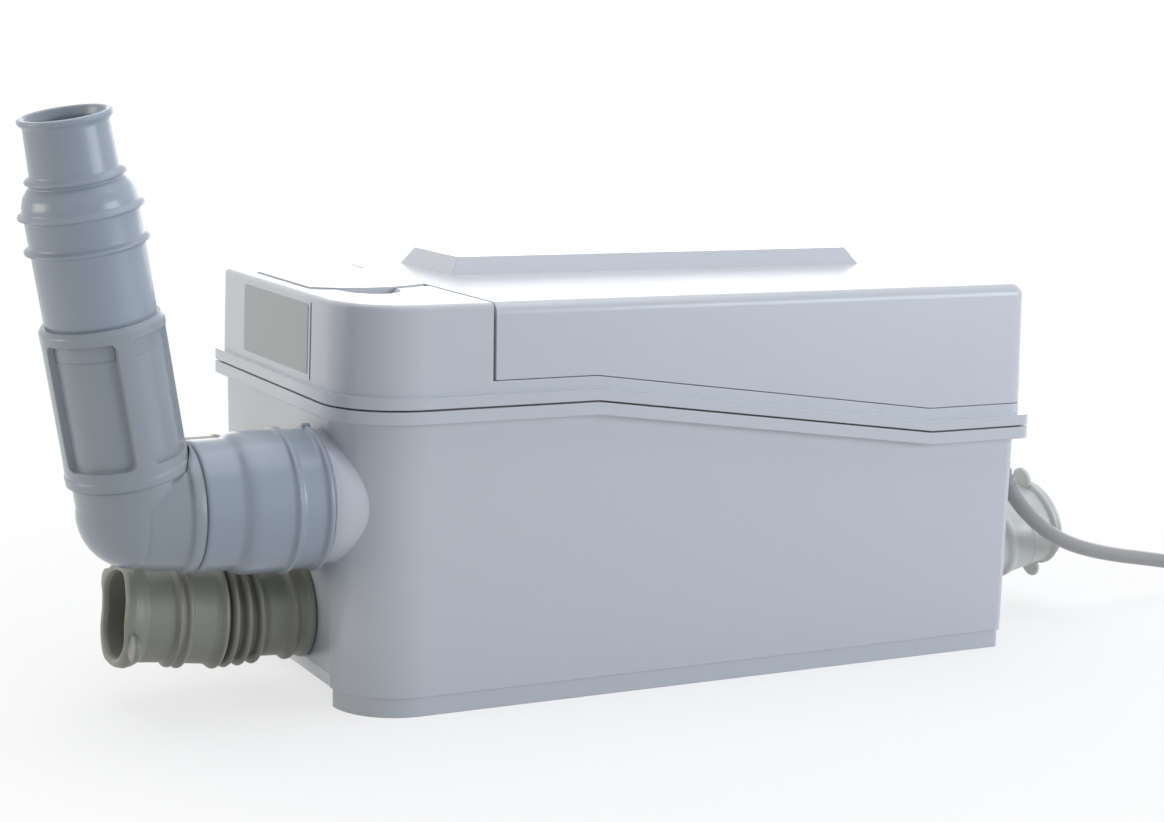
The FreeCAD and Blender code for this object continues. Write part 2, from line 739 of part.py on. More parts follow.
screw_holes = [cylinder("screw_hole_%d" % i, S.screw_radius + 0.1, 20, (x, y, S.deck_top - 12))
               for i, (x, y) in enumerate(POSTS)]
cover_end_room = box("cover_end_room", lid_edge, S.seam_x + S.seam_gap / 2 + S.lid_wall + 0.35, -FAR, FAR,
                     S.parting_left + cover_line, FAR)
lid_hollowed = cut("lid_hollowed", lid_outer, lid_hollow)
lid_fitted = fuse("lid_fitted", lid_hollowed, motor_cup, filter_well, well_rib, cap_seat, finger_under)
tank_lid = cut("tank_lid_cut", lid_fitted, motor_room, seal_seat, bell_hole, filter_room, cap_recess,
               cap_opening, finger, latch_notch, cover_end_room, gland_hole, *well_holes, *screw_holes)
node(tank_lid, "tank_lid")

# Access cap and the filter cartridge under it

cap_plate = cap_outline("cap_plate", 0, cap_low, cap_top)
cap_rib = cap_outline("cap_rib", -S.cap_ledge - 0.3, cap_low - 3, cap_low)
cap_rib_room = cap_outline("cap_rib_room", -S.cap_ledge - 2.3, cap_low - 4, cap_low)
node(fuse("access_cap_all", cap_plate, cut("cap_rib_ring", cap_rib, cap_rib_room)), "access_cap")

filter_low = S.lid_top - S.lid_wall - S.well_depth + 1 + S.well_wall
filter_radius = S.well_radius - 0.4
filter_case = revolved("filter_case", [
    (0, 0.2), (filter_radius, 0.2), (filter_radius, S.filter_height - 2),
    (filter_radius - 0.8, S.filter_height),
    (filter_radius - 3, S.filter_height), (filter_radius - 3, S.filter_height - 3), (0, S.filter_height - 3)],
    (S.cap_x, S.cap_y, filter_low))
filter_slots = [box("filter_slot_%d" % i, S.cap_x - 11, S.cap_x + 11, S.cap_y + 6 * i - 1.2,
                    S.cap_y + 6 * i + 1.2,
                    filter_low - 1, filter_low + 4) for i in (-1, 0, 1)]
node(cut("carbon_filter_cut", filter_case, *filter_slots), "carbon_filter")

# Motor cover: hood over the deck with a raised plateau at the back

cover_x0 = S.seam_x + S.seam_gap / 2
cover_outer = common("cover_outer", lid_block("cover_block", 0, S.lid_top, S.cover_round),
                     above("cover_above", cover_line + 0.3, cover_x0))
cover_inner = common("cover_inner", lid_block("cover_inner_block", S.lid_wall, S.lid_top - S.lid_wall),
                     box("cover_inner_box", cover_x0 + S.lid_wall, FAR, -FAR, FAR, S.deck_top, FAR))


def plateau_block(name, inset, low, high):
    """The raised back panel with its four sloping sides."""
    body = doc.addObject("PartDesign::Body", name)
    sketch = new_sketch(body, name + "_outline", "XY_Plane", low)
    polygon(sketch, [(S.plateau_left + inset, S.plateau_front + inset),
                     (S.plateau_right - inset, S.plateau_front + inset),
                     (S.plateau_right - inset, S.plateau_back - inset),
                     (S.plateau_left + inset, S.plateau_back - inset)])
    pad = body.newObject("PartDesign::Pad", name + "_pad")
    pad.Profile = sketch
    bind(pad, "Length", dim(high) - low)
    bind(pad, "TaperAngle", -S.plateau_draft)
    return body


plateau_outer = plateau_block("plateau_outer", 0, S.lid_top - 0.5, S.lid_top + S.plateau_height)
plateau_inner = plateau_block("plateau_inner", S.lid_wall, S.lid_top - S.lid_wall - 0.5,
                              S.lid_top + S.plateau_height - S.lid_wall)
gland_slot = fuse("gland_slot",
                  cylinder("gland_slot_round", S.gland_radius + 0.35, 30,
                           (S.gland_x - 26, S.gland_y, gland_hole_z), "X"),
                  box("gland_slot_box", S.gland_x - 26, S.gland_x + 4, S.gland_y - S.gland_radius - 0.35,
                      S.gland_y + S.gland_radius + 0.35, S.deck_top, gland_hole_z))
motor_cover = cut("motor_cover_cut", fuse("cover_solid", cover_outer, plateau_outer),
                  cover_inner, plateau_inner, gland_slot)
node(motor_cover, "motor_cover")

# Motor: shell with its lower bearing seat, top shield, stator, windings, rotor, shaft

PUMP_AXIS = (S.pump_x, S.pump_y, 0)
bearing_in = S.shaft_radius + S.shaft_play
seat_in = S.bearing_radius + 0.05
seat_out = S.bearing_radius + 3
plate_top = S.motor_bottom + 3
seat_top = plate_top + S.bearing_height
shell_in = S.motor_radius - S.motor_wall
shell = revolved("motor_shell_body", [
    (8, S.motor_bottom), (S.motor_radius, S.motor_bottom), (S.motor_radius, S.motor_top),
    (shell_in, S.motor_top), (shell_in, plate_top), (seat_out, plate_top), (seat_out, seat_top),
    (seat_in, seat_top), (seat_in, plate_top), (8, plate_top)], PUMP_AXIS)
SCREW_TURNS = [30, 150, 270]
boss_ring = S.motor_radius - S.motor_wall - 3.2


def around(angle, ring):
    """A point on a ring round the pump's axis."""
    return (S.pump_x + ring * math.cos(math.radians(angle)), S.pump_y + ring * math.sin(math.radians(angle)))


shell_bosses = [cylinder("shell_boss_%d" % a, 3.5, 7.5, (*around(a, boss_ring), S.motor_top - 7.5))
                for a in SCREW_TURNS]
shell_holes = [cylinder("shell_hole_%d" % a, 1.6, 9, (*around(a, boss_ring), S.motor_top - 8))
               for a in SCREW_TURNS]
node(cut("motor_shell_cut", fuse("motor_shell_all", shell, *shell_bosses), *shell_holes), "motor_shell")

shield_low = S.motor_top - 5.7
shield = revolved("motor_top_body", [
    (0, S.motor_top + 1.5), (seat_in, S.motor_top + 1.5), (seat_in, shield_low), (seat_out, shield_low),
    (seat_out, S.motor_top), (S.motor_radius, S.motor_top), (S.motor_radius, S.motor_top + 2.2),
    (S.motor_radius - 1, S.motor_top + 3.2), (seat_out + 2, S.motor_top + 3.2), (seat_out, S.motor_top + 4.2),
    (0, S.motor_top + 4.2)], PUMP_AXIS)
shield_holes = [cylinder("shield_hole_%d" % a, 1.7, 9, (*around(a, boss_ring), S.motor_top - 1))
                for a in SCREW_TURNS]
node(cut("motor_top_cut", shield, *shield_holes), "motor_top_shield")
motor_screws = [fuse("motor_screw_%d" % a,
                     cylinder("motor_shank_%d" % a, 1.55, 10.2, (*around(a, boss_ring), S.motor_top - 7)),
                     cylinder("motor_head_%d" % a, 3.0, 2.2, (*around(a, boss_ring), S.motor_top + 3.2)))
                for a in SCREW_TURNS]
node(group("motor_screw_group", *motor_screws), "motor_screws")


def bearing(name, low):
    return node(revolved(name + "_body", [
        (bearing_in, low), (S.bearing_radius, low), (S.bearing_radius, low + S.bearing_height),
        (bearing_in, low + S.bearing_height)], PUMP_AXIS), name)


bearing("lower_bearing", plate_top)
bearing("upper_bearing", S.motor_top + 1.3 - S.bearing_height)

stator_in = S.rotor_radius + S.air_gap
stator_out = shell_in - 0.1
stator_top = S.stator_bottom + S.stator_height
node(revolved("stator_body", [
    (stator_in, S.stator_bottom), (stator_out, S.stator_bottom), (stator_out, stator_top),
    (stator_in, stator_top)], PUMP_AXIS), "stator")


def winding(name, low, high):
    """One end of the stator's winding, a rounded ring."""
    inner = stator_in + 2
    outer = boss_ring - 4.2
    return revolved(name, [(inner + 1, low), (outer - 1, low), (outer, low + 1), (outer, high - 1),
                           (outer - 1, high), (inner + 1, high), (inner, high - 1), (inner, low + 1)],
                           PUMP_AXIS)


node(winding("winding_low", S.stator_bottom - S.winding_height, S.stator_bottom), "lower_winding")
node(winding("winding_high", stator_top, stator_top + S.winding_height), "upper_winding")
node(revolved("rotor_body", [
    (S.shaft_radius, S.stator_bottom + 0.5), (S.rotor_radius, S.stator_bottom + 0.5),
    (S.rotor_radius, stator_top - 0.5), (S.shaft_radius, stator_top - 0.5)], PUMP_AXIS), "rotor")
shaft_top = S.motor_top + 0.9
node(revolved("shaft_body", [
    (0, S.shaft_bottom), (S.shaft_radius - 0.8, S.shaft_bottom), (S.shaft_radius, S.shaft_bottom + 0.8),
    (S.shaft_radius, shaft_top - 0.8), (S.shaft_radius - 0.8, shaft_top), (0, shaft_top)], PUMP_AXIS),
    "motor_shaft")
node(revolved("shaft_seal_body", [
    (bearing_in, S.motor_bottom - 6.5), (9, S.motor_bottom - 6.5), (9, S.motor_bottom - 0.1),
    (bearing_in, S.motor_bottom - 0.1)], PUMP_AXIS), "shaft_seal")

# Pump: column, casing with its tangent outlet, suction plate, impeller

volute_top = S.volute_bottom + S.volute_height
column_top = S.motor_bottom - S.deck_thickness
node(revolved("pump_column_body", [
    (S.column_radius - S.column_wall, volute_top), (S.column_radius, volute_top),
    (S.column_radius, column_top - 4), (S.column_radius + 6, column_top - 4),
    (S.column_radius + 6, column_top), (S.column_radius - S.column_wall, column_top)], PUMP_AXIS),
    "pump_column")

nozzle_y = S.discharge_y
nozzle_z = S.volute_bottom + S.volute_height / 2
nozzle_end = S.pump_x - S.volute_radius - 4
casing = revolved("casing_body", [
    (0, S.volute_bottom), (S.volute_radius, S.volute_bottom), (S.volute_radius, volute_top - 3),
    (S.volute_radius - 3, volute_top), (0, volute_top)], PUMP_AXIS)
casing_room = revolved("casing_room", [
    (0, S.volute_bottom - 1), (S.volute_radius - S.volute_wall, S.volute_bottom - 1),
    (S.volute_radius - S.volute_wall, volute_top - S.volute_wall), (0, volute_top - S.volute_wall)],
    PUMP_AXIS)
nozzle = cylinder("nozzle", S.nozzle_radius, S.pump_x - nozzle_end, (S.pump_x, nozzle_y, nozzle_z), "-X")
nozzle_room = cylinder("nozzle_room", S.pipe_bore, S.pump_x - nozzle_end + 2,
                       (S.pump_x, nozzle_y, nozzle_z), "-X")
casing_hole = cylinder("casing_hole", S.shaft_radius + 2.5, 20, (S.pump_x, S.pump_y, volute_top - 8))
node(cut("casing_cut", fuse("casing_all", casing, nozzle), casing_room, nozzle_room, casing_hole),
     "pump_casing")

plate_low = S.volute_bottom - 2.5
suction_plate = revolved("suction_plate_body", [
    (S.suction_radius, plate_low), (S.volute_radius, plate_low), (S.volute_radius, S.volute_bottom),
    (S.volute_radius - S.volute_wall - 0.3, S.volute_bottom),
    (S.suction_radius + 1.5, S.volute_bottom + 1.5), (S.suction_radius, S.volute_bottom + 1.5)], PUMP_AXIS)
plate_feet = [cylinder("plate_foot_%d" % a, 3.0, plate_low - S.sump_floor - 0.3,
                       (*around(a, S.volute_radius - 5), S.sump_floor + 0.3)) for a in (0, 120, 240)]
node(fuse("suction_plate_all", suction_plate, *plate_feet), "suction_plate")

impeller = doc.addObject("PartDesign::Body", "impeller_body")
hub_sketch = new_sketch(impeller, "hub_profile", "XZ_Plane")
hub_top = S.impeller_bottom + S.vane_height + 2
polygon(hub_sketch, [
    (S.shaft_radius, S.impeller_bottom), (S.shaft_radius + 3, S.impeller_bottom),
    (S.shaft_radius + 4, S.impeller_bottom + S.vane_height),
    (S.impeller_radius, S.impeller_bottom + S.vane_height), (S.impeller_radius, hub_top),
    (S.shaft_radius + 4, hub_top), (S.shaft_radius + 3, hub_top + 3), (S.shaft_radius, hub_top + 3)])
hub = impeller.newObject("PartDesign::Revolution", "impeller_hub")
hub.Profile = hub_sketch
hub.ReferenceAxis = (hub_sketch, ["V_Axis"])
hub.Angle = 360
doc.recompute()
vane_sketch = new_sketch(impeller, "vane_outline", "XY_Plane", S.impeller_bottom)
VANES = 5
VANE_POINTS = 5
vane_inner = S.shaft_radius.value + 2.0
vane_outer = S.impeller_radius.value - 0.3
VANE_SWEEP = 75.0


def vane_side(offset):
    """Points along one side of a back-swept vane, from the hub to the edge."""
    points = []
    for i in range(VANE_POINTS):
        part = i / (VANE_POINTS - 1)
        radius = vane_inner + (vane_outer - vane_inner) * part
        angle = math.radians(VANE_SWEEP * part) + offset / radius
        points.append((radius * math.cos(angle), radius * math.sin(angle)))
    return points


half_vane = S.vane_thickness.value / 2
polygon(vane_sketch, vane_side(-half_vane) + vane_side(half_vane)[::-1])
vane = impeller.newObject("PartDesign::Pad", "vane")
vane.Profile = vane_sketch
bind(vane, "Length", S.vane_height + 0.5)
doc.recompute()
vanes = impeller.newObject("PartDesign::PolarPattern", "vanes")
vanes.Originals = [vane]
vanes.Axis = (hub_sketch, ["V_Axis"])
vanes.Angle = 360
vanes.Occurrences = VANES
impeller.Tip = vanes
put(impeller, PUMP_AXIS)
node(impeller, "impeller")


def bent_tube(points, radius, bend):
    """A round bar through the points, its corners rounded to one bend radius."""
    edges = []
    start = points[0]
    for before, corner, after in zip(points, points[1:], points[2:]):
        into = (corner - before).normalize()
        out = (after - corner).normalize()
        turn = into.getAngle(out)
        reach = bend * math.tan(turn / 2)
        a = corner - into * reach
        b = corner + out * reach
        middle = corner + (out - into).normalize() * bend * (1 / math.cos(turn / 2) - 1)
        edges += [Part.LineSegment(start, a).toShape(), Part.Arc(a, middle, b).toShape()]
        start = b
    edges.append(Part.LineSegment(start, points[-1]).toShape())
    path = Part.Wire(edges)
    ring = Part.Wire(Part.Circle(points[0], points[1] - points[0], radius).toShape())
    return path.makePipeShell([ring], True, False)


def value_point(x, y, z):
    return Vector(dim(x).value, dim(y).value, dim(z).value)


pipe_end = -(half_length - S.tank_wall) + 3.0
PIPE_TURN_X = -92.0
PIPE_BEND = 16.0
pipe_route = [value_point(nozzle_end - 0.2, nozzle_y, nozzle_z),
              Vector(PIPE_TURN_X, nozzle_y.value, nozzle_z.value),
              Vector(PIPE_TURN_X, nozzle_y.value, S.discharge_z.value),
              value_point(pipe_end - 6, nozzle_y, S.discharge_z)]
pipe = doc.addObject("Part::Feature", "inner_pipe")
pipe.Shape = bent_tube(pipe_route, S.nozzle_radius.value, PIPE_BEND).cut(
    bent_tube(pipe_route, S.pipe_bore.value, PIPE_BEND))
node(pipe, "inner_discharge_pipe")

# Level switch: air bell, base, diaphragm, top with bracket, plunger, microswitch

SWITCH_AXIS = (S.switch_x, S.switch_y, 0)
deck_low = S.deck_top - S.deck_thickness
bell_in = S.bell_radius - S.bell_wall
node(revolved("air_bell_body", [
    (bell_in, S.bell_bottom), (S.bell_radius, S.bell_bottom), (S.bell_radius, deck_low - 3),
    (S.bell_radius + 3, deck_low - 3), (S.bell_radius + 3, deck_low), (bell_in, deck_low)], SWITCH_AXIS),
    "air_bell")
base_top = S.deck_top + 8
node(revolved("switch_base_body", [
    (3, S.deck_top), (S.switch_radius - 6, S.deck_top), (S.switch_radius, base_top - 3),
    (S.switch_radius, base_top), (S.switch_radius - 3, base_top), (S.switch_radius - 8, S.deck_top + 3),
    (3, S.deck_top + 3)], SWITCH_AXIS), "switch_base")
diaphragm_top = base_top + 1.2
node(cylinder("diaphragm_disc", S.switch_radius - 0.2, 1.2, (S.switch_x, S.switch_y, base_top)),
     "switch_diaphragm")
top_high = diaphragm_top + 8
switch_top = revolved("switch_top_body", [
    (S.plunger_radius + 0.15, top_high - 2.5), (S.switch_radius - 3, diaphragm_top + 3),
    (S.switch_radius - 3, diaphragm_top), (S.switch_radius, diaphragm_top),
    (S.switch_radius, diaphragm_top + 4),
    (S.switch_radius - 6, top_high), (S.plunger_radius + 0.15, top_high)], SWITCH_AXIS)
micro_low = top_high + 7
switch_bracket = box("switch_bracket", S.switch_x - 10, S.switch_x + 10, S.switch_y + 5.1, S.switch_y + 7.6,
                     top_high - 1, micro_low + 9)
node(fuse("switch_top_all", switch_top, switch_bracket), "switch_top")
plunger_top = micro_low - S.plunger_travel - 0.4
node(revolved("plunger_body", [
    (0, diaphragm_top + 0.1), (5, diaphragm_top + 0.1), (5, diaphragm_top + 1.2),
    (S.plunger_radius, diaphragm_top + 1.8), (S.plunger_radius, plunger_top), (0, plunger_top)],
    SWITCH_AXIS), "switch_plunger")
node(box("microswitch_box", S.switch_x - 10, S.switch_x + 10, S.switch_y - 3.2, S.switch_y + 5.1,
         micro_low, micro_low + 10), "microswitch")

# Capacitor and terminal block on the deck

capacitor_low = S.deck_top + S.capacitor_radius + 0.2
node(fuse("capacitor_all",
          cylinder("capacitor_can", S.capacitor_radius, S.capacitor_length,
                   (S.capacitor_x, -8, capacitor_low), "Y"),
          cylinder("capacitor_stud", 4, 6, (S.capacitor_x, S.capacitor_length - 8.01, capacitor_low), "Y")),
     "capacitor")
terminal_case = box("terminal_case", S.terminal_x - 14, S.terminal_x + 14, S.terminal_y - 8, S.terminal_y + 8,
                    S.deck_top, S.deck_top + 13)
terminal_holes = [cylinder("terminal_hole_%d" % i, 2.4, 9,
                           (S.terminal_x - 8.5 + 8.5 * i, S.terminal_y, S.deck_top + 6))
                  for i in range(3)]
node(cut("terminal_cut", terminal_case, *terminal_holes), "terminal_block")

lid_screws = [fuse("lid_screw_%d" % i,
                   cylinder("lid_shank_%d" % i, S.screw_radius, 15, (x, y, S.deck_top - 15)),
                   cylinder("lid_head_%d" % i, S.screw_head, 3, (x, y, S.deck_top)))
              for i, (x, y) in enumerate(POSTS)]
node(group("lid_screw_group", *lid_screws), "lid_screws")

# Discharge sleeve: soft sleeve with two rings over the outlet spigot

OUTLET = (0, S.discharge_y, S.discharge_z)
sleeve_low = S.boss_reach + 0.2
sleeve_wide = S.outlet_spigot_radius + S.sleeve_gap
sleeve_narrow = S.elbow_spigot_radius + S.sleeve_gap
ring_one = sleeve_low + 1.6
ring_two = S.boss_reach + 13.5
sleeve = revolved("sleeve_body", [
    (sleeve_wide, sleeve_low), (S.sleeve_radius - 0.2, sleeve_low), (S.sleeve_radius + 0.9, ring_one - 0.7),
    (S.sleeve_radius + 0.9, ring_one + 0.5), (S.sleeve_radius - 0.3, ring_one + 1.6),
    (S.sleeve_radius - 0.2, ring_two - 1.4), (S.sleeve_radius + 1.2, ring_two - 0.5),
    (S.sleeve_radius + 1.2, ring_two + 0.7), (S.sleeve_radius, ring_two + 1.8),
    (S.sleeve_radius + 0.3, S.sleeve_step - 3), (S.sleeve_radius - 0.4, S.sleeve_step - 0.6),
    (S.sleeve_end_radius - 0.2, S.sleeve_step + 2.6), (S.sleeve_end_radius, S.sleeve_end - 0.8),
    (S.sleeve_end_radius - 0.6, S.sleeve_end), (sleeve_narrow, S.sleeve_end),
    (sleeve_narrow, S.outlet_spigot_reach + 4), (sleeve_wide, S.outlet_spigot_reach + 1)],
    OUTLET, "-X")
sleeve_nub = cylinder("sleeve_nub", 1.5, 3.2, (-(ring_one - 1.4), S.discharge_y + 1.5,
                                              S.discharge_z + S.sleeve_radius + 0.4), "-X")
node(fuse("sleeve_all", sleeve, sleeve_nub), "discharge_sleeve")

# Elbow: bell leg along X, upright leg, round corner; turned about X by the forward lean

forward = Rotation(X_AXIS, S.upright_forward.value)
upright = forward * Rotation(Y_AXIS, -S.upright_lean.value)
CORNER = (-S.elbow_x, S.discharge_y, S.discharge_z)
bell_low = S.elbow_x - S.sleeve_end - 0.3
bell_high = bell_low - S.elbow_collar
neck_radius = S.valve_bore + 1.9
spigot_length = S.sleeve_end - S.outlet_spigot_reach - 5.5
elbow_bell = revolved("elbow_bell", [
    (0, 0), (S.elbow_radius + 0.8, 0), (S.elbow_bell_radius, bell_high),
    (S.elbow_bell_radius + 1.0, bell_high + 0.8), (S.elbow_bell_radius + 1.2, bell_low - 1.0),
    (S.elbow_bell_radius + 0.6, bell_low), (S.elbow_spigot_radius, bell_low),
    (S.elbow_spigot_radius, bell_low + spigot_length - 1),
    (S.elbow_spigot_radius - 0.8, bell_low + spigot_length),
    (0, bell_low + spigot_length)], CORNER, "X")
elbow_corner = sphere("elbow_corner", S.elbow_radius + 0.7, CORNER)
elbow_leg = revolved("elbow_leg", [
    (0, 0), (S.elbow_radius, 0), (S.elbow_radius, S.valve_bottom - 0.1),
    (neck_radius - 0.1, S.valve_bottom - 0.1),
    (neck_radius - 0.1, S.valve_bottom + 6), (0, S.valve_bottom + 6)], CORNER, turn=upright)
elbow_room_x = cylinder("elbow_room_x", S.elbow_spigot_radius - S.elbow_wall, 80, CORNER, "X")
elbow_room_up = revolved("elbow_room_up", [(0, 0), (S.valve_bore, 0), (S.valve_bore, 60), (0, 60)],
                         CORNER, turn=upright)
elbow_room = sphere("elbow_room", S.elbow_spigot_radius - S.elbow_wall, CORNER)
valve_clearance = revolved("valve_clearance", [
    (0, S.valve_bottom - 0.1), (S.valve_radius + 0.7, S.valve_bottom - 0.1), (S.valve_radius + 0.7, 60),
    (0, 60)],
    CORNER, turn=upright)
node(cut("elbow_cut", fuse("elbow_all", cut("elbow_bell_cleared",
                                            fuse("elbow_bend", elbow_bell, elbow_corner),
                                            valve_clearance), elbow_leg),
         elbow_room_x, elbow_room_up, elbow_room), "discharge_elbow")

# Non-return valve body: four sunk panels between ribs, seat inside, hinge pin holes

panel_floor = S.valve_radius - S.panel_depth
valve_solid = revolved("valve_solid", [
    (neck_radius, S.valve_bottom), (S.valve_radius + 0.4, S.valve_bottom),
    (S.valve_radius + 0.4, S.valve_bottom + 2.8), (S.valve_radius, S.valve_bottom + 3.4),
    (S.valve_radius, S.valve_top - 1.6), (S.valve_radius - 1.2, S.valve_top),
    (S.reducer_socket + 0.1, S.valve_top), (S.reducer_socket + 0.1, S.reducer_bottom - 0.1),
    (S.valve_bore, S.reducer_bottom - 0.1), (S.valve_bore, S.seat_height),
    (S.seat_bore, S.seat_height), (S.seat_bore, S.seat_height - 2.5), (S.valve_bore, S.seat_height - 7),
    (S.valve_bore, S.valve_bottom + 6.2), (neck_radius, S.valve_bottom + 6.2)])
panel_ring = cut("panel_ring",
                 cylinder("panel_ring_out", S.valve_radius + 5, S.panel_top - S.panel_bottom,
                          (0, 0, S.panel_bottom)),
                 cylinder("panel_ring_in", panel_floor, S.panel_top - S.panel_bottom + 2,
                          (0, 0, S.panel_bottom - 1)))
RIB_TURN = 3.5
rib_bars = []
for i, angle in enumerate((RIB_TURN, RIB_TURN + 90)):
    bar = box("rib_bar_%d" % i, -FAR, FAR, -S.panel_rib / 2, S.panel_rib / 2, S.panel_bottom - 1,
              S.panel_top + 1)
    turned = put(group("rib_turned_%d" % i, bar), (0, 0, 0), Rotation(Z_AXIS, angle))
    rib_bars.append(turned)
panels_square = cut("panels_square", panel_ring, *rib_bars)
doc.recompute()
panels = doc.addObject("Part::Fillet", "panels")
panels.Base = panels_square
panels.Edges = [(i + 1, S.panel_round.value, S.panel_round.value)
                for i, edge in enumerate(panels_square.Shape.Edges)
                if isinstance(edge.Curve, Part.Line) and edge.BoundBox.ZLength < 1e-6]
flap_hinge = -(S.valve_bore - 3.2)
flap_axis_z = S.seat_height + 2.6
pin_half = 12.0
valve_pin_hole = cylinder("valve_pin_hole", S.hinge_pin_radius + 0.02, 2 * pin_half + 0.4,
                          (flap_hinge, -pin_half - 0.2, flap_axis_z), "Y")
valve_body = cut("valve_body_cut", valve_solid, panels, valve_pin_hole)
node(valve_body, "valve_body", CORNER, upright)
node(cylinder("valve_pin", S.hinge_pin_radius, 2 * pin_half, (flap_hinge, -pin_half, flap_axis_z), "Y"),
     "valve_pin_rod")
valve_pin = NODES.pop()
node(group("valve_pin_placed", valve_pin), "valve_hinge_pin", CORNER, upright)

flap_low = S.seat_height + 0.15
flap_disc = cylinder("flap_disc", S.flap_radius, S.flap_thickness, (0, 0, flap_low))
flap_arm = box("flap_arm", flap_hinge, 0, -3, 3, flap_low + 0.4, flap_low + S.flap_thickness + 0.8)
BARREL_RADIUS = 2.3
flap_barrel = cylinder("flap_barrel", BARREL_RADIUS, 8, (flap_hinge, -4, flap_axis_z), "Y")
flap_hole = cylinder("flap_hole", S.hinge_pin_radius + 0.06, 10, (flap_hinge, -5, flap_axis_z), "Y")
valve_flap = cut("valve_flap_cut", fuse("valve_flap_all", flap_disc, flap_arm, flap_barrel), flap_hole)
node(valve_flap, "valve_flap", CORNER, upright)

# Reducer: soft stepped sleeve with three rings, for the pipe that leads away

reducer = revolved("reducer_body", [
    (S.reducer_socket - 2.2, S.reducer_bottom), (S.reducer_socket, S.reducer_bottom),
    (S.reducer_socket, S.valve_top + 0.2), (S.reducer_radius, S.valve_top + 1.2),
    (S.reducer_radius, S.ring_low - 1.5), (S.reducer_radius + 1.9, S.ring_low - 0.6),
    (S.reducer_radius + 1.9, S.ring_low + 0.6), (S.reducer_radius + 0.1, S.ring_low + 1.5),
    (S.reducer_radius + 0.1, S.ring_middle - 1.2), (S.reducer_radius + 2.0, S.ring_middle - 0.5),
    (S.reducer_radius + 2.0, S.ring_middle + 0.5), (S.reducer_radius + 0.4, S.ring_middle + 1.2),
    (S.reducer_radius, S.ring_middle + 4.2), (S.reducer_radius - 1.2, S.ring_middle + 6.4),
    (S.outlet_radius + 1.6, S.ring_high - 3.0), (S.outlet_radius + 0.7, S.ring_high - 1.8),
    (S.outlet_radius + 2.3, S.ring_high - 0.6), (S.outlet_radius + 2.3, S.ring_high + 0.7),
    (S.outlet_radius + 0.4, S.ring_high + 1.7), (S.outlet_radius - 0.3, S.reducer_top - 3.2),
    (S.rim_radius - 0.4, S.reducer_top - 2.0), (S.rim_radius, S.reducer_top - 1.0),
    (S.rim_radius - 0.5, S.reducer_top), (S.outlet_bore + 1.2, S.reducer_top),
    (S.outlet_bore, S.reducer_top - 3), (S.outlet_bore, S.ring_high - 3),
    (S.reducer_socket - 2.2, S.ring_middle)])
put(reducer, CORNER, upright)
node(reducer, "reducer_sleeve")

# Inlet flaps, one behind each inlet, hanging on a pin inside the tank


def inlet_flap(name):
    side, y, z, radius, bore = INLETS[name]
    axis = "X" if side > 0 else "-X"
    face = S.spigot_inner - 0.15
    hinge_z = z + S.hinge_rise
    disc = cylinder("inlet_disc_" + name, S.inlet_flap_radius, 1.8, ((face - 1.8) * side, y, z), axis)
    x_out = (face - 0.3) * side
    x_in = (face - 2.6) * side
    x0, x1 = (x_out, x_in) if side < 0 else (x_in, x_out)
    arm = box("inlet_arm_" + name, x0, x1, y - 5, y + 5, z, hinge_z)
    barrel = cylinder("inlet_barrel_" + name, 2.4, 2 * LUG_REACH - 0.8,
                      (hinge_x * side, y - LUG_REACH + 0.4, hinge_z), "Y")
    hole = cylinder("inlet_hole_" + name, S.hinge_pin_radius + 0.06, 2 * LUG_REACH,
                    (hinge_x * side, y - LUG_REACH, hinge_z), "Y")
    node(cut("inlet_flap_cut_" + name, fuse("inlet_flap_all_" + name, disc, arm, barrel), hole),
         "inlet_flap_" + name)
    pin_length = 2 * (LUG_REACH + LUG_THICK)
    node(cylinder("inlet_rod_" + name, S.hinge_pin_radius, pin_length,
                  (hinge_x * side, y - pin_length / 2, hinge_z), "Y"), "inlet_pin_" + name)


for name in INLETS:
    inlet_flap(name)

# Inlet sleeves: ribbed soft sleeves over the low spigots, flexed a little at their ribs

WALL_FACE = half_length + 0.75
sleeve_bore = S.spigot_radius + 0.2
sleeve_core = sleeve_bore + S.inlet_sleeve_wall
SLEEVE_BEND_REACH = 2.2
FAR_STATIONS = 43.0


def tube_feature(name, points, radius, bend):
    """A round bar along a bent route as an object of its own."""
    obj = doc.addObject("Part::Feature", name)
    obj.Shape = bent_tube(points, radius, bend)
    return obj


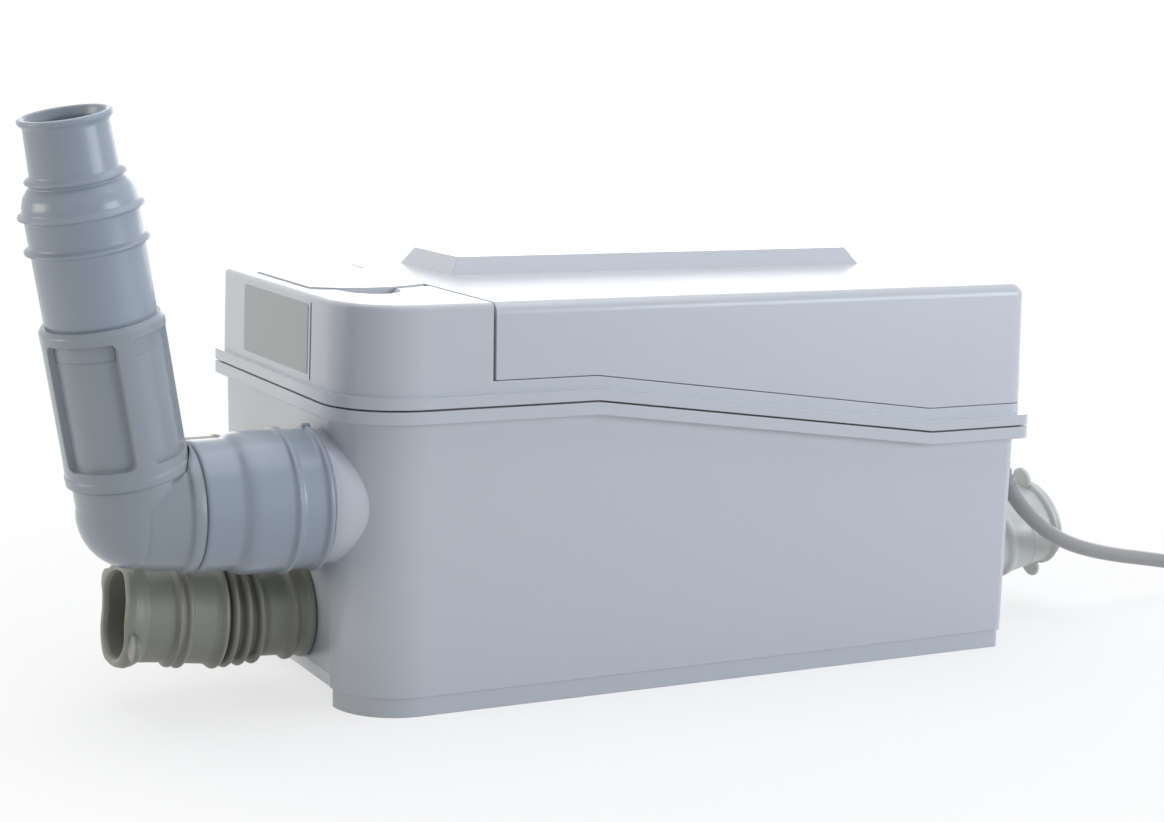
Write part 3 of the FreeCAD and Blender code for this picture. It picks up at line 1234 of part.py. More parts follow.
def inlet_sleeve(label, side, length, lift, yaw, ear_angle):
    """A sleeve with its wall end square to the tank and its mouth end turned at the ribs."""
    axis = "X" if side > 0 else "-X"
    at = (WALL_FACE * side, S.inlet_y, S.inlet_z)
    pivot = S.sleeve_pivot
    pivot_at = ((WALL_FACE + pivot) * side, S.inlet_y, S.inlet_z)
    level = Vector(side, 0, 0)
    out = Vector(side * math.cos(math.radians(lift)) * math.cos(math.radians(yaw)),
                 math.cos(math.radians(lift)) * math.sin(math.radians(yaw)), math.sin(math.radians(lift)))
    turn = Rotation(level, out) * Rotation(X_AXIS, ear_angle) * TURNS[axis]
    end = length - pivot
    step = end / FAR_STATIONS
    start = value_point(*at)
    corner = value_point(*pivot_at)
    bend = SLEEVE_BEND_REACH / math.tan(level.getAngle(out) / 2)
    core = tube_feature(label + "_core", [start, corner, corner + out * (end.value - 4)],
                        sleeve_core.value, bend)
    room = tube_feature(label + "_room", [start - level, corner,
                                          corner + out * (end.value - 20 * step.value)],
                        sleeve_bore.value, bend)
    deep = sleeve_bore + 0.6
    near = revolved(label + "_near", [
        (deep, 0), (sleeve_core + 2.0, 0), (sleeve_core + 2.0, 2.0), (sleeve_core + 1.0, 3.0),
        (sleeve_core + 1.0, 6.4), (sleeve_core + 1.9, 7.2), (sleeve_core + 1.9, 9.0),
        (sleeve_core - 0.4, 11.0),
        (deep, 11.0)], at, axis)
    rib_near = revolved(label + "_rib_near", [
        (deep, pivot - 10.6), (sleeve_core - 0.4, pivot - 10.6), (sleeve_core + 2.2, pivot - 8.8),
        (sleeve_core + 2.2, pivot - 7.9), (sleeve_core - 0.4, pivot - 6.2), (sleeve_core + 2.6, pivot - 4.0),
        (sleeve_core + 2.6, pivot - 3.0), (sleeve_core - 0.4, pivot - 1.2), (deep, pivot - 1.2)], at, axis)
    rib_far = revolved(label + "_rib_far", [
        (deep, 0.9), (sleeve_core - 0.4, 0.9), (sleeve_core + 3.2, 2.5), (sleeve_core + 3.2, 3.6),
        (sleeve_core + 0.6, 5.4), (sleeve_core + 3.7, 7.4), (sleeve_core + 3.7, 9.4),
        (sleeve_core + 2.2, 11.2),
        (sleeve_core + 2.2, end - step * 23.4), (sleeve_core + 3.4, end - step * 22.4),
        (sleeve_core + 3.4, end - step * 20.8),
        (sleeve_core + 1.8, end - step * 19.8), (sleeve_core + 3.1, end - step * 18.9),
        (sleeve_core + 3.1, end - step * 17.4),
        (sleeve_core + 1.3, end - step * 16.0), (sleeve_core + 1.3, end - step * 7.0),
        (sleeve_core + 3.4, end - step * 4.6),
        (sleeve_core + 3.6, end - step * 1.2), (sleeve_core + 2.4, end), (deep, end)], pivot_at, turn=turn)
    mouth = revolved(label + "_mouth", [
        (0, end - step * 21), (sleeve_bore - 1, end - step * 21), (S.mouth_bore, end - step * 18),
        (S.mouth_bore, end - 4),
        (S.mouth_flare, end), (S.mouth_flare, end + 3), (0, end + 3)], pivot_at, turn=turn)
    ears = [cylinder("%s_ear_%d" % (label, hand + 1), S.ear_radius, 2.6,
                     ((sleeve_core + 3.4) * hand, 0, end - 3.8))
            for hand in (-1, 1)]
    ear_pair = put(group(label + "_ears", *ears), pivot_at, turn)
    node(cut(label + "_cut", fuse(label + "_all", core, near, rib_near, rib_far, ear_pair), room, mouth),
         label)
    return pivot_at, turn, end, step


inlet_sleeve("inlet_sleeve_left", -1, S.inlet_sleeve_length, S.sleeve_lift.value, 0.0, S.left_ear_angle.value)
plug_at, plug_turn, plug_end, plug_step = inlet_sleeve("inlet_sleeve_right", 1, S.right_sleeve_length,
                                                       S.right_sleeve_lift.value,
                                            S.right_sleeve_yaw.value, S.right_ear_angle.value)

# Blanking plug in the right sleeve's mouth, and the cap over the upper inlet

plug_fit = S.mouth_bore - 0.3
blanking_plug = revolved("blanking_plug_body", [
    (0, plug_end - plug_step * 15), (plug_fit - 1, plug_end - plug_step * 15),
    (plug_fit, plug_end - plug_step * 13), (plug_fit, plug_end - 4.2),
    (S.mouth_flare - 0.6, plug_end + 0.3), (18.6, plug_end + 0.3), (18.6, plug_end + 2.2),
    (17.8, plug_end + 2.8),
    (12.5, plug_end + 2.8), (11.5, plug_end + 0.5), (0, plug_end + 0.5)], plug_at, turn=plug_turn)
node(blanking_plug, "blanking_plug")

cap_bore = S.spigot_radius + 2.6 + 0.25
cap_length = S.upper_cap_length
upper_cap = revolved("upper_cap_body", [
    (cap_bore, 0.8), (S.upper_cap_radius + 0.8, 0.8), (S.upper_cap_radius + 0.8, 3.2),
    (S.upper_cap_radius, 4.2),
    (S.upper_cap_radius, cap_length - 2.0), (S.upper_cap_radius - 2.0, cap_length), (0, cap_length),
    (0, cap_length - 3.0), (cap_bore, cap_length - 3.0)],
    (-WALL_FACE, S.upper_inlet_y, S.upper_inlet_z), "-X")
cap_pull = box("cap_pull", -(WALL_FACE + cap_length + 6), -(WALL_FACE + cap_length - 1),
               S.upper_inlet_y - 1.5,
               S.upper_inlet_y + 1.5, S.upper_inlet_z - 9, S.upper_inlet_z + 9)
node(fuse("upper_cap_all", upper_cap, cap_pull), "upper_inlet_cap")

# Cord gland: level through the lid's band, then a strain relief pointing down

gland_at = (S.gland_x, S.gland_y, S.gland_z)
gland_level = cylinder("gland_level", S.gland_radius, 17.5, (S.gland_x - 17.5, S.gland_y, S.gland_z), "X")
gland_collar = cylinder("gland_collar", S.gland_radius + 1.6, 1.6, (lid_x + 2.0, S.gland_y, S.gland_z), "X")
gland_nut = cylinder("gland_nut", S.gland_radius + 1.8, 2.4, (lid_x - 9.2, S.gland_y, S.gland_z), "X")
gland_corner = sphere("gland_corner", S.gland_radius, gland_at)
gland_drop = cone("gland_drop", S.gland_radius, S.gland_radius - 0.7, S.gland_z - S.gland_bottom,
                  gland_at, "-Z")
node(fuse("gland_all", gland_level, gland_collar, gland_nut, gland_corner, gland_drop), "cord_gland")

# Mains cord: free run, put-away coil and tail to the plug

CORD = S.cord_radius.value
ROUTE = [
    Vector(156.0, -50.0, 84.0),
    Vector(156.8, -50.0, 73.0),
    Vector(164.2, -51.0, 60.0),
    Vector(176.5, -49.5, 48.2),
    Vector(195.0, -45.5, 36.5),
    Vector(226.0, -37.5, 26.3),
    Vector(274.0, -27.5, 16.6),
    Vector(318.0, -25.5, 6.8),
    Vector(357.0, -28.5, 3.7),
]


def cord_path(points):
    """Straight runs joined by arcs as large as the runs allow; prints the least radius."""
    edges = []
    start = points[0]
    least = None
    for before, corner, after in zip(points, points[1:], points[2:]):
        into = corner - before
        out = after - corner
        shorter = min(into.Length, out.Length)
        into = into.normalize()
        out = out.normalize()
        turn = into.getAngle(out)
        radius = 0.45 * shorter / math.tan(turn / 2)
        reach = radius * math.tan(turn / 2)
        a = corner - into * reach
        b = corner + out * reach
        middle = corner + (out - into).normalize() * radius * (1 / math.cos(turn / 2) - 1)
        edges.append(Part.LineSegment(start, a).toShape())
        edges.append(Part.Arc(a, middle, b).toShape())
        start = b
        print("cord turn %.1f deg, radius %.1f" % (math.degrees(turn), radius))
        least = radius if least is None else min(least, radius)
    edges.append(Part.LineSegment(start, points[-1]).toShape())
    print("least cord radius %.1f, diameter %.1f" % (least, 2 * CORD))
    return Part.Wire(edges)


def tube_on(path, start, direction):
    ring = Part.Wire(Part.Circle(start, direction, CORD).toShape())
    solid = path.makePipeShell([ring], True, False)
    section = math.pi * CORD ** 2
    print("tube volume %.1f of %.1f" % (solid.Volume, section * path.Length))
    return solid


COIL_START_ANGLE = -90.0
TURNS_IN = 2.0
TURNS_OUT = 1.5
pitch = S.coil_pitch.value
outer = S.coil_outer.value
inner = outer - TURNS_IN * pitch
coil_x = S.coil_x.value
coil_y = S.coil_y.value


def coil_point(turns):
    """A point of the coil's centreline after so many turns from its start."""
    low = CORD + 0.2
    high = low + pitch
    if turns <= TURNS_IN:
        radius = outer - pitch * turns
        height = low
    elif turns <= TURNS_IN + 0.5:
        part = (turns - TURNS_IN) / 0.5
        radius = inner
        height = low + (high - low) * (3 - 2 * part) * part * part
    else:
        radius = inner + pitch * (turns - TURNS_IN - 0.5)
        height = high
    angle = math.radians(COIL_START_ANGLE + 360 * turns)
    return Vector(coil_x + radius * math.cos(angle), coil_y + radius * math.sin(angle), height)


def coil_heading(turns):
    step = 1e-4
    if turns in (0.0, TURNS_IN + 0.5 + TURNS_OUT):
        return Vector(1, 0, 0)
    if turns in (TURNS_IN, TURNS_IN + 0.5):
        return (coil_point(turns + step) - coil_point(turns - step)).normalize()
    return (coil_point(turns + step) - coil_point(turns - step)).normalize()


def arc_between(start, heading, end):
    """The arc that leaves the start along the heading and reaches the end."""
    chord = end - start
    side = chord - heading * chord.dot(heading)
    if side.Length < 1e-6:
        return Part.LineSegment(start, end).toShape()
    side = side.normalize()
    radius = chord.dot(chord) / (2 * chord.dot(side))
    centre = start + side * radius
    middle = (start + end) * 0.5 - centre
    middle = centre + middle.normalize() * radius
    return Part.Arc(start, middle, end).toShape()


def biarc(start, heading, end, end_heading):
    """Two arcs that join smoothly and keep both headings."""
    gap = end - start
    total = heading + end_heading
    a = 2 * (1 - heading.dot(end_heading))
    b = 2 * gap.dot(total)
    c = -gap.dot(gap)
    reach = (-b + math.sqrt(b * b - 4 * a * c)) / (2 * a) if abs(a) > 1e-9 else -c / b
    joint = (start + end + (heading - end_heading) * reach) * 0.5
    first = arc_between(start, heading, joint)
    second_back = arc_between(end, end_heading * -1, joint)
    return [first, second_back]


coil_edges = []
quarters = int(4 * (TURNS_IN + 0.5 + TURNS_OUT))
for quarter in range(quarters):
    here = quarter / 4.0
    there = (quarter + 1) / 4.0
    coil_edges += biarc(coil_point(here), coil_heading(here), coil_point(there), coil_heading(there))
coil_path = Part.Wire(Part.__sortEdges__(coil_edges))
coil = doc.addObject("Part::Feature", "coil_tube")
coil.Shape = tube_on(coil_path, coil_point(0), coil_heading(0))
coil_samples = coil_path.discretize(Number=400)
spacing = coil_path.Length / 399
least_gap = min((a - b).Length - 2 * CORD for i, a in enumerate(coil_samples)
                for b in coil_samples[i + int(40 / spacing):])
print("coil length %.0f, least gap to itself %.2f" % (coil_path.Length, least_gap))

coil_in = coil_point(0.0)
run_points = ROUTE + [coil_in]
run_path = cord_path(run_points)
cord_run = doc.addObject("Part::Feature", "cord_tube")
cord_run.Shape = tube_on(run_path, run_points[0], run_points[1] - run_points[0])
node(cord_run, "mains_cord")
node(coil, "mains_cord_coil")

coil_out = coil_point(TURNS_IN + 0.5 + TURNS_OUT)
PLUG_X = coil_out.x + 84.0
plug_z = S.plug_radius.value + 0.2
tail_points = [coil_out, coil_out + Vector(20, 0, 0.3), coil_out + Vector(46, -2.5, 3.0),
               Vector(coil_out.x + 66, coil_out.y - 4.0, plug_z - 0.4),
               Vector(PLUG_X, coil_out.y - 4.2, plug_z)]
tail_path = cord_path(tail_points)
cord_tail = doc.addObject("Part::Feature", "tail_tube")
cord_tail.Shape = tube_on(tail_path, tail_points[0], tail_points[1] - tail_points[0])
node(cord_tail, "mains_cord_tail")
print("cord length %.0f" % (run_path.Length + coil_path.Length + tail_path.Length))

# Mains plug: round body with a stepped neck, two pins

PLUG_AT = (PLUG_X, coil_out.y - 4.2, plug_z)
plug_body = revolved("plug_shell", [
    (0, 0), (5.2, 0), (6.4, 9), (S.plug_radius * 0.62, 13), (S.plug_radius - 1.5, 17), (S.plug_radius, 20),
    (S.plug_radius, S.plug_length + 4), (S.plug_radius - 1.2, S.plug_length + 6), (0, S.plug_length + 6)],
    PLUG_AT, "X")
node(plug_body, "plug_body")
plug_pins = [cylinder("plug_pin_%d" % (hand + 1), S.pin_radius, S.pin_length,
                      (PLUG_X + S.plug_length.value + 6, PLUG_AT[1] + hand * S.pin_spacing.value / 2,
                       plug_z), "X")
             for hand in (-1, 1)]
node(group("plug_pin_pair", *plug_pins), "plug_pins")

# Check every object and write each piece

doc.recompute()
for obj in doc.Objects:
    if "Invalid" in obj.State or "Error" in obj.State:
        raise RuntimeError("%s (%s) failed: %s" % (obj.Name, obj.Label, obj.State))
os.makedirs("parts", exist_ok=True)
for obj in NODES:
    shape = obj.Shape
    if shape.isNull() or not shape.isValid() or not shape.Solids:
        raise RuntimeError("%s has no valid solid" % obj.Label)
    shape.exportStep("parts/%s.step" % obj.Label)
    print("%-24s solids %d faces %d volume %.0f" % (obj.Label, len(shape.Solids), len(shape.Faces),
                                                    shape.Volume))
print("nodes", len(NODES))
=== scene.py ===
# A small grey-water lifting unit on a white studio ground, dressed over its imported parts.

import json
import math

import bmesh
import bpy
from mathutils import Matrix, Vector
from mathutils.bvhtree import BVHTree


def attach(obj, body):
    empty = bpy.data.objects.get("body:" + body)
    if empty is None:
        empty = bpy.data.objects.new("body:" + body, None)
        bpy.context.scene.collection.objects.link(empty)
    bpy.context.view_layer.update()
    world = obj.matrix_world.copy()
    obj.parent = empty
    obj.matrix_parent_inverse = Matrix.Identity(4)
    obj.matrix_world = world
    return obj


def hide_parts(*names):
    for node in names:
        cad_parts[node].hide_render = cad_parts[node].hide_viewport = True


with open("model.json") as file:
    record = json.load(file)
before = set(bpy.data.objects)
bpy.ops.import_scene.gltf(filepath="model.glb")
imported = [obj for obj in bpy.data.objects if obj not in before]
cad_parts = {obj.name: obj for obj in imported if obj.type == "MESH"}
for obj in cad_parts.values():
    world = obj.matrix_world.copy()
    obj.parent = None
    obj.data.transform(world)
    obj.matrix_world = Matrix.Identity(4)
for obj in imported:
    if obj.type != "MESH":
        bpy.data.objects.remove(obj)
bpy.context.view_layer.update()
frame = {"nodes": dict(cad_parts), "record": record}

# Outlines and places on the object are in millimetres and become metres by MM
MM = 0.001
scene = bpy.context.scene


def linear(red, green, blue):
    """A colour written as 0 to 255 screen values, as the shader wants it."""
    out = []
    for value in (red, green, blue):
        value = value / 255.0
        out.append(value / 12.92 if value <= 0.04045 else ((value + 0.055) / 1.055) ** 2.4)
    return (*out, 1.0)


# Camera at the photograph's place

SENSOR_WIDTH = 36.0
FOCAL_PIXELS = 2307.05
PHOTO_WIDTH = 1164.0
AZIMUTH = 0.47474
ELEVATION = 0.16052
ROLL = 0.02256
CAMERA_AT = Vector((-447.37, -833.80, 250.34)) * MM

camera_data = bpy.data.cameras.new("camera")
camera_data.sensor_width = SENSOR_WIDTH
camera_data.lens = FOCAL_PIXELS * SENSOR_WIDTH / PHOTO_WIDTH
camera_data.clip_start = 0.05
camera_data.clip_end = 20.0
camera = bpy.data.objects.new("camera", camera_data)
scene.collection.objects.link(camera)
scene.camera = camera
forward = Vector((math.sin(AZIMUTH) * math.cos(ELEVATION), math.cos(AZIMUTH) * math.cos(ELEVATION),
                  -math.sin(ELEVATION)))
right = Vector((math.cos(AZIMUTH), -math.sin(AZIMUTH), 0.0))
up = right.cross(forward)
right_rolled = right * math.cos(ROLL) + up * math.sin(ROLL)
up_rolled = up * math.cos(ROLL) - right * math.sin(ROLL)
turn = Matrix((right_rolled, up_rolled, -forward)).transposed()
camera.matrix_world = Matrix.Translation(CAMERA_AT) @ turn.to_4x4()


# Studio: white ground with a faint shadow, bright backdrop behind, dim room in front, four soft lamps

GROUND_HALF = 5.0
SHADOW_NEAR = 0.2
SHADOW_FAR = 0.4
NEAR_WHITE = 0.7
BOUNCE_GREY = 0.62
SEEN_GREY = 0.95
BACKDROP_WAY = (0.5, 0.86, 0.1)
ROOM_LIGHT = (0.17, 0.2, 0.24, 1.0)
BACKDROP_LIGHT = (0.95, 0.97, 1.0, 1.0)
BACKDROP_START, BACKDROP_FULL = -0.2, 0.8


def seen_white(nodes, links):
    """1 for rays that the camera, a reflection or a clear piece sends, and 0 for light on the object."""
    path = nodes.new("ShaderNodeLightPath")
    glossy = nodes.new("ShaderNodeMath")
    glossy.operation = "MAXIMUM"
    links.new(path.outputs["Is Camera Ray"], glossy.inputs[0])
    links.new(path.outputs["Is Glossy Ray"], glossy.inputs[1])
    clear = nodes.new("ShaderNodeMath")
    clear.operation = "MAXIMUM"
    links.new(glossy.outputs["Value"], clear.inputs[0])
    links.new(path.outputs["Is Transmission Ray"], clear.inputs[1])
    return clear.outputs["Value"]


def ground_material():
    """Pale ground: lit and shaded near the object, plain white further out."""
    material = bpy.data.materials.new("studio_white")
    material.use_nodes = True
    nodes, links = material.node_tree.nodes, material.node_tree.links
    nodes.clear()
    out = nodes.new("ShaderNodeOutputMaterial")
    seen = seen_white(nodes, links)
    paint = nodes.new("ShaderNodeMix")
    paint.data_type = "RGBA"
    paint.inputs["A"].default_value = (BOUNCE_GREY, BOUNCE_GREY, BOUNCE_GREY, 1.0)
    paint.inputs["B"].default_value = (SEEN_GREY, SEEN_GREY, SEEN_GREY, 1.0)
    links.new(seen, paint.inputs["Factor"])
    matt = nodes.new("ShaderNodeBsdfDiffuse")
    links.new(paint.outputs["Result"], matt.inputs["Color"])
    white = nodes.new("ShaderNodeEmission")
    white.inputs["Color"].default_value = (1.0, 1.0, 1.0, 1.0)
    white.inputs["Strength"].default_value = 1.0
    place = nodes.new("ShaderNodeTexCoord")
    reach = nodes.new("ShaderNodeVectorMath")
    reach.operation = "LENGTH"
    links.new(place.outputs["Object"], reach.inputs[0])
    fade = nodes.new("ShaderNodeMapRange")
    fade.interpolation_type = "SMOOTHSTEP"
    fade.inputs["From Min"].default_value = SHADOW_NEAR
    fade.inputs["From Max"].default_value = SHADOW_FAR
    fade.inputs["To Min"].default_value = NEAR_WHITE
    links.new(reach.outputs["Value"], fade.inputs["Value"])
    share = nodes.new("ShaderNodeMath")
    share.operation = "MULTIPLY"
    links.new(fade.outputs["Result"], share.inputs[0])
    links.new(seen, share.inputs[1])
    blend = nodes.new("ShaderNodeMixShader")
    links.new(share.outputs["Value"], blend.inputs["Fac"])
    links.new(matt.outputs["BSDF"], blend.inputs[1])
    links.new(white.outputs["Emission"], blend.inputs[2])
    links.new(blend.outputs["Shader"], out.inputs["Surface"])
    return material


def studio_ground():
    """A wide flat ground that the object stands on."""
    mesh = bpy.data.meshes.new("studio_ground")
    corners = [(-GROUND_HALF, -GROUND_HALF, 0), (GROUND_HALF, -GROUND_HALF, 0),
               (GROUND_HALF, GROUND_HALF, 0), (-GROUND_HALF, GROUND_HALF, 0)]
    mesh.from_pydata(corners, [], [(0, 1, 2, 3)])
    ground = bpy.data.objects.new("studio_ground", mesh)
    scene.collection.objects.link(ground)
    ground.data.materials.append(ground_material())


def studio_world():
    """White where it is seen or mirrored; as light, bright behind the object and dim in front of it."""
    world = bpy.data.worlds.new("studio_world")
    scene.world = world
    world.use_nodes = True
    nodes, links = world.node_tree.nodes, world.node_tree.links
    nodes.clear()
    out = nodes.new("ShaderNodeOutputWorld")
    place = nodes.new("ShaderNodeTexCoord")
    towards = nodes.new("ShaderNodeVectorMath")
    towards.operation = "DOT_PRODUCT"
    towards.inputs[1].default_value = BACKDROP_WAY
    links.new(place.outputs["Generated"], towards.inputs[0])
    part = nodes.new("ShaderNodeMapRange")
    part.interpolation_type = "SMOOTHSTEP"
    part.inputs["From Min"].default_value = BACKDROP_START
    part.inputs["From Max"].default_value = BACKDROP_FULL
    links.new(towards.outputs["Value"], part.inputs["Value"])
    sky = nodes.new("ShaderNodeMix")
    sky.data_type = "RGBA"
    sky.inputs["A"].default_value = ROOM_LIGHT
    sky.inputs["B"].default_value = BACKDROP_LIGHT
    links.new(part.outputs["Result"], sky.inputs["Factor"])
    light = nodes.new("ShaderNodeBackground")
    links.new(sky.outputs["Result"], light.inputs["Color"])
    white = nodes.new("ShaderNodeBackground")
    white.inputs["Color"].default_value = (1.0, 1.0, 1.0, 1.0)
    blend = nodes.new("ShaderNodeMixShader")
    links.new(seen_white(nodes, links), blend.inputs["Fac"])
    links.new(light.outputs["Background"], blend.inputs[1])
    links.new(white.outputs["Background"], blend.inputs[2])
    links.new(blend.outputs["Shader"], out.inputs["Surface"])


def softbox(name, place, target, size, power, colour=(1.0, 1.0, 1.0)):
    """A rectangular lamp that the camera doesn't see."""
    data = bpy.data.lights.new(name, "AREA")
    data.shape = "RECTANGLE"
    data.size = size[0]
    data.size_y = size[1]
    data.energy = power
    data.color = colour
    box = bpy.data.objects.new(name, data)
    scene.collection.objects.link(box)
    box.location = place
    box.rotation_mode = "QUATERNION"
    box.rotation_quaternion = (Vector(target) - Vector(place)).to_track_quat("-Z", "Y")
    box.visible_camera = False


studio_ground()
studio_world()
softbox("overhead_softbox", place=(0.0, 0.0, 1.5), target=(0.0, 0.0, 0.1), size=(1.6, 1.4), power=9.5)
softbox("right_front_softbox", place=(1.35, -1.5, 0.5), target=(0.0, 0.0, 0.08), size=(1.2, 0.9),
        power=19.0, colour=(0.87, 0.92, 1.0))
softbox("back_softbox", place=(1.2, 1.9, 0.55), target=(0.0, 0.0, 0.12), size=(2.6, 1.0), power=10.0)
softbox("left_softbox", place=(-1.8, 0.3, 0.35), target=(-0.1, 0.0, 0.05), size=(0.9, 0.6), power=8.3,
        colour=(1.0, 0.94, 0.81))
scene.view_settings.view_transform = "Standard"


# Finishes

SMEAR_SCALE = 38.0
PATCH_SCALE = 420.0
EDGE_FLAT, EDGE_SHARP = 0.995, 0.90


def surface(name, metallic=0.0, coat=0.0):
    """A new material with its constant values on the shader's own sockets."""
    material = bpy.data.materials.new(name)
    material.use_nodes = True
    nodes, links = material.node_tree.nodes, material.node_tree.links
    shader = nodes["Principled BSDF"]
    shader.inputs["Metallic"].default_value = metallic
    shader.inputs["Coat Weight"].default_value = coat
    return material, nodes, links, shader


def noise(nodes, links, vector, scale, detail=2.0, roughness=0.5):
    """A noise value at a place."""
    node = nodes.new("ShaderNodeTexNoise")
    node.inputs["Scale"].default_value = scale
    node.inputs["Detail"].default_value = detail
    node.inputs["Roughness"].default_value = roughness
    links.new(vector, node.inputs["Vector"])
    return node.outputs["Fac"]


def ranged(nodes, links, value, low, high, to_low, to_high):
    """A value carried from one range to another."""
    node = nodes.new("ShaderNodeMapRange")
    node.inputs["From Min"].default_value = low
    node.inputs["From Max"].default_value = high
    node.inputs["To Min"].default_value = to_low
    node.inputs["To Max"].default_value = to_high
    links.new(value, node.inputs["Value"])
    return node.outputs["Result"]


def blended(nodes, links, factor, first, second):
    """A mix of two colours, each a value or another node's output."""
    node = nodes.new("ShaderNodeMix")
    node.data_type = "RGBA"
    links.new(factor, node.inputs["Factor"])
    for socket, value in (("A", first), ("B", second)):
        if isinstance(value, bpy.types.NodeSocket):
            links.new(value, node.inputs[socket])
        else:
            node.inputs[socket].default_value = value
    return node.outputs["Result"]


def shade(colour, factor):
    """The colour made lighter or darker."""
    return [min(1.0, c * factor) for c in colour[:3]] + [1.0]


def moulding(name, colour, rough, metallic=0.0, tone=0.02, mottle=160.0, grain=0.15,
             grain_scale=1500.0, grain_depth=0.00004, round_edge=0.0005, wear=1.06,
             wear_rough=0.06, wear_patch=0.25):
    """A moulded surface: fine speckle, satin grain, softened edges that are a little paler."""
    material, nodes, links, shader = surface(name, metallic)
    place = nodes.new("ShaderNodeTexCoord").outputs["Object"]
    speckle = noise(nodes, links, place, mottle, detail=8.0, roughness=0.75)
    body = blended(nodes, links, speckle, shade(colour, 1 - tone), shade(colour, 1 + tone))
    smear = noise(nodes, links, place, SMEAR_SCALE, detail=5.0, roughness=0.65)
    gloss = ranged(nodes, links, smear, 0.3, 0.7, rough * 0.88, rough * 1.14)
    fine = noise(nodes, links, place, grain_scale, detail=3.0, roughness=0.6)
    bump = nodes.new("ShaderNodeBump")
    bump.inputs["Strength"].default_value = grain
    bump.inputs["Distance"].default_value = grain_depth
    links.new(fine, bump.inputs["Height"])
    if round_edge:
        softened = nodes.new("ShaderNodeBevel")
        softened.samples = 4
        softened.inputs["Radius"].default_value = round_edge
        links.new(softened.outputs["Normal"], bump.inputs["Normal"])
        facing = nodes.new("ShaderNodeNewGeometry")
        match = nodes.new("ShaderNodeVectorMath")
        match.operation = "DOT_PRODUCT"
        links.new(softened.outputs["Normal"], match.inputs[0])
        links.new(facing.outputs["Normal"], match.inputs[1])
        edge = ranged(nodes, links, match.outputs["Value"], EDGE_FLAT, EDGE_SHARP, 0.0, 1.0)
        blotch = noise(nodes, links, place, PATCH_SCALE, detail=3.0)
        patch = ranged(nodes, links, blotch, 0.35, 0.6, wear_patch, 1.0)
        worn = nodes.new("ShaderNodeMath")
        worn.operation = "MULTIPLY"
        links.new(edge, worn.inputs[0])
        links.new(patch, worn.inputs[1])
        body = blended(nodes, links, worn.outputs["Value"], body, shade(colour, wear))
        extra = nodes.new("ShaderNodeMath")
        extra.operation = "MULTIPLY_ADD"
        extra.inputs[1].default_value = wear_rough
        links.new(worn.outputs["Value"], extra.inputs[0])
        links.new(gloss, extra.inputs[2])
        gloss = extra.outputs["Value"]
    links.new(body, shader.inputs["Base Color"])
    links.new(gloss, shader.inputs["Roughness"])
    links.new(bump.outputs["Normal"], shader.inputs["Normal"])
    return material


FINISHES = {
    "tank": moulding("off_white_moulding", linear(210, 213, 218), 0.24, tone=0.006, grain=0.1,
                     wear=1.01, wear_rough=0.0, wear_patch=1.0),
    "outlet": moulding("blue_grey_moulding", linear(160, 168, 174), 0.22, tone=0.015, grain=0.2,
                       round_edge=0.0008, wear=1.12, wear_patch=0.8),
    "outlet_rubber": moulding("blue_grey_rubber", linear(162, 171, 182), 0.24, tone=0.02, grain=0.25,
                              wear=1.08, wear_patch=0.8),
    "inlet_rubber": moulding("warm_grey_rubber", linear(150, 149, 138), 0.42, tone=0.03, grain=0.3,
                             wear=1.12),
    "inlet_rubber_light": moulding("pale_warm_rubber", linear(212, 213, 207), 0.4, tone=0.02, grain=0.3,
                                   wear=1.08),
    "seal": moulding("dark_seal_rubber", linear(118, 109, 99), 0.6, grain=0.4, wear=1.3),
    "cord": moulding("pale_cord_sheath", linear(153, 151, 151), 0.34, tone=0.02, grain=0.2, round_edge=0.0),
    "grey_plastic": moulding("grey_moulding", linear(150, 153, 158), 0.45, grain=0.3, wear=1.15),
    "dark_plastic": moulding("dark_moulding", linear(50, 50, 54), 0.42, grain=0.3, wear=1.5),
    "hose": moulding("hose_rubber", linear(66, 67, 70), 0.6, grain=0.4, wear=1.3),
    "carbon": moulding("carbon_felt", linear(34, 34, 34), 0.9, tone=0.35, mottle=900.0, grain=1.0,
                       grain_scale=1800.0, grain_depth=0.0004, wear=1.4),
    "steel": moulding("bright_steel", linear(196, 198, 202), 0.28, metallic=1.0, tone=0.05, grain=0.2,
                      wear=1.1),
    "laminate": moulding("stacked_steel", linear(140, 142, 146), 0.42, metallic=1.0, tone=0.08, grain=0.4),
    "aluminium": moulding("cast_aluminium", linear(205, 207, 210), 0.38, metallic=1.0, tone=0.05, grain=0.6,
                          grain_scale=1100.0, grain_depth=0.00015, wear=1.1),
    "copper": moulding("lacquered_winding", linear(190, 104, 62), 0.33, metallic=1.0, tone=0.12, grain=0.5),
    "brass": moulding("plain_brass", linear(208, 178, 110), 0.28, metallic=1.0, tone=0.05, grain=0.15,
                      wear=1.1),
}

SMOOTH_BEND = moulding("blue_grey_bend", linear(160, 168, 174), 0.22, tone=0.015, grain=0.2,
                       round_edge=0.0026, wear=1.0, wear_rough=0.0)

slot_of = {entry["node"]: entry["material_slot"] for entry in frame["record"]["subparts"]}
for name, obj in frame["nodes"].items():
    obj.data.materials.clear()
    obj.data.materials.append(SMOOTH_BEND if name == "discharge_elbow" else FINISHES[slot_of[name]])


def finished(name, mesh, body, node, stands_for=True, finish=None):
    """A piece on a body, with the node's material slot; it stands for the node unless told not to."""
    piece = bpy.data.objects.new(name, mesh)
    scene.collection.objects.link(piece)
    mesh.materials.clear()
    mesh.materials.append(finish or FINISHES[slot_of[node]])
    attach(piece, body)
    if stands_for:
        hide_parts(node)
    return piece


# Mains cord: one smooth line through run, coil and tail

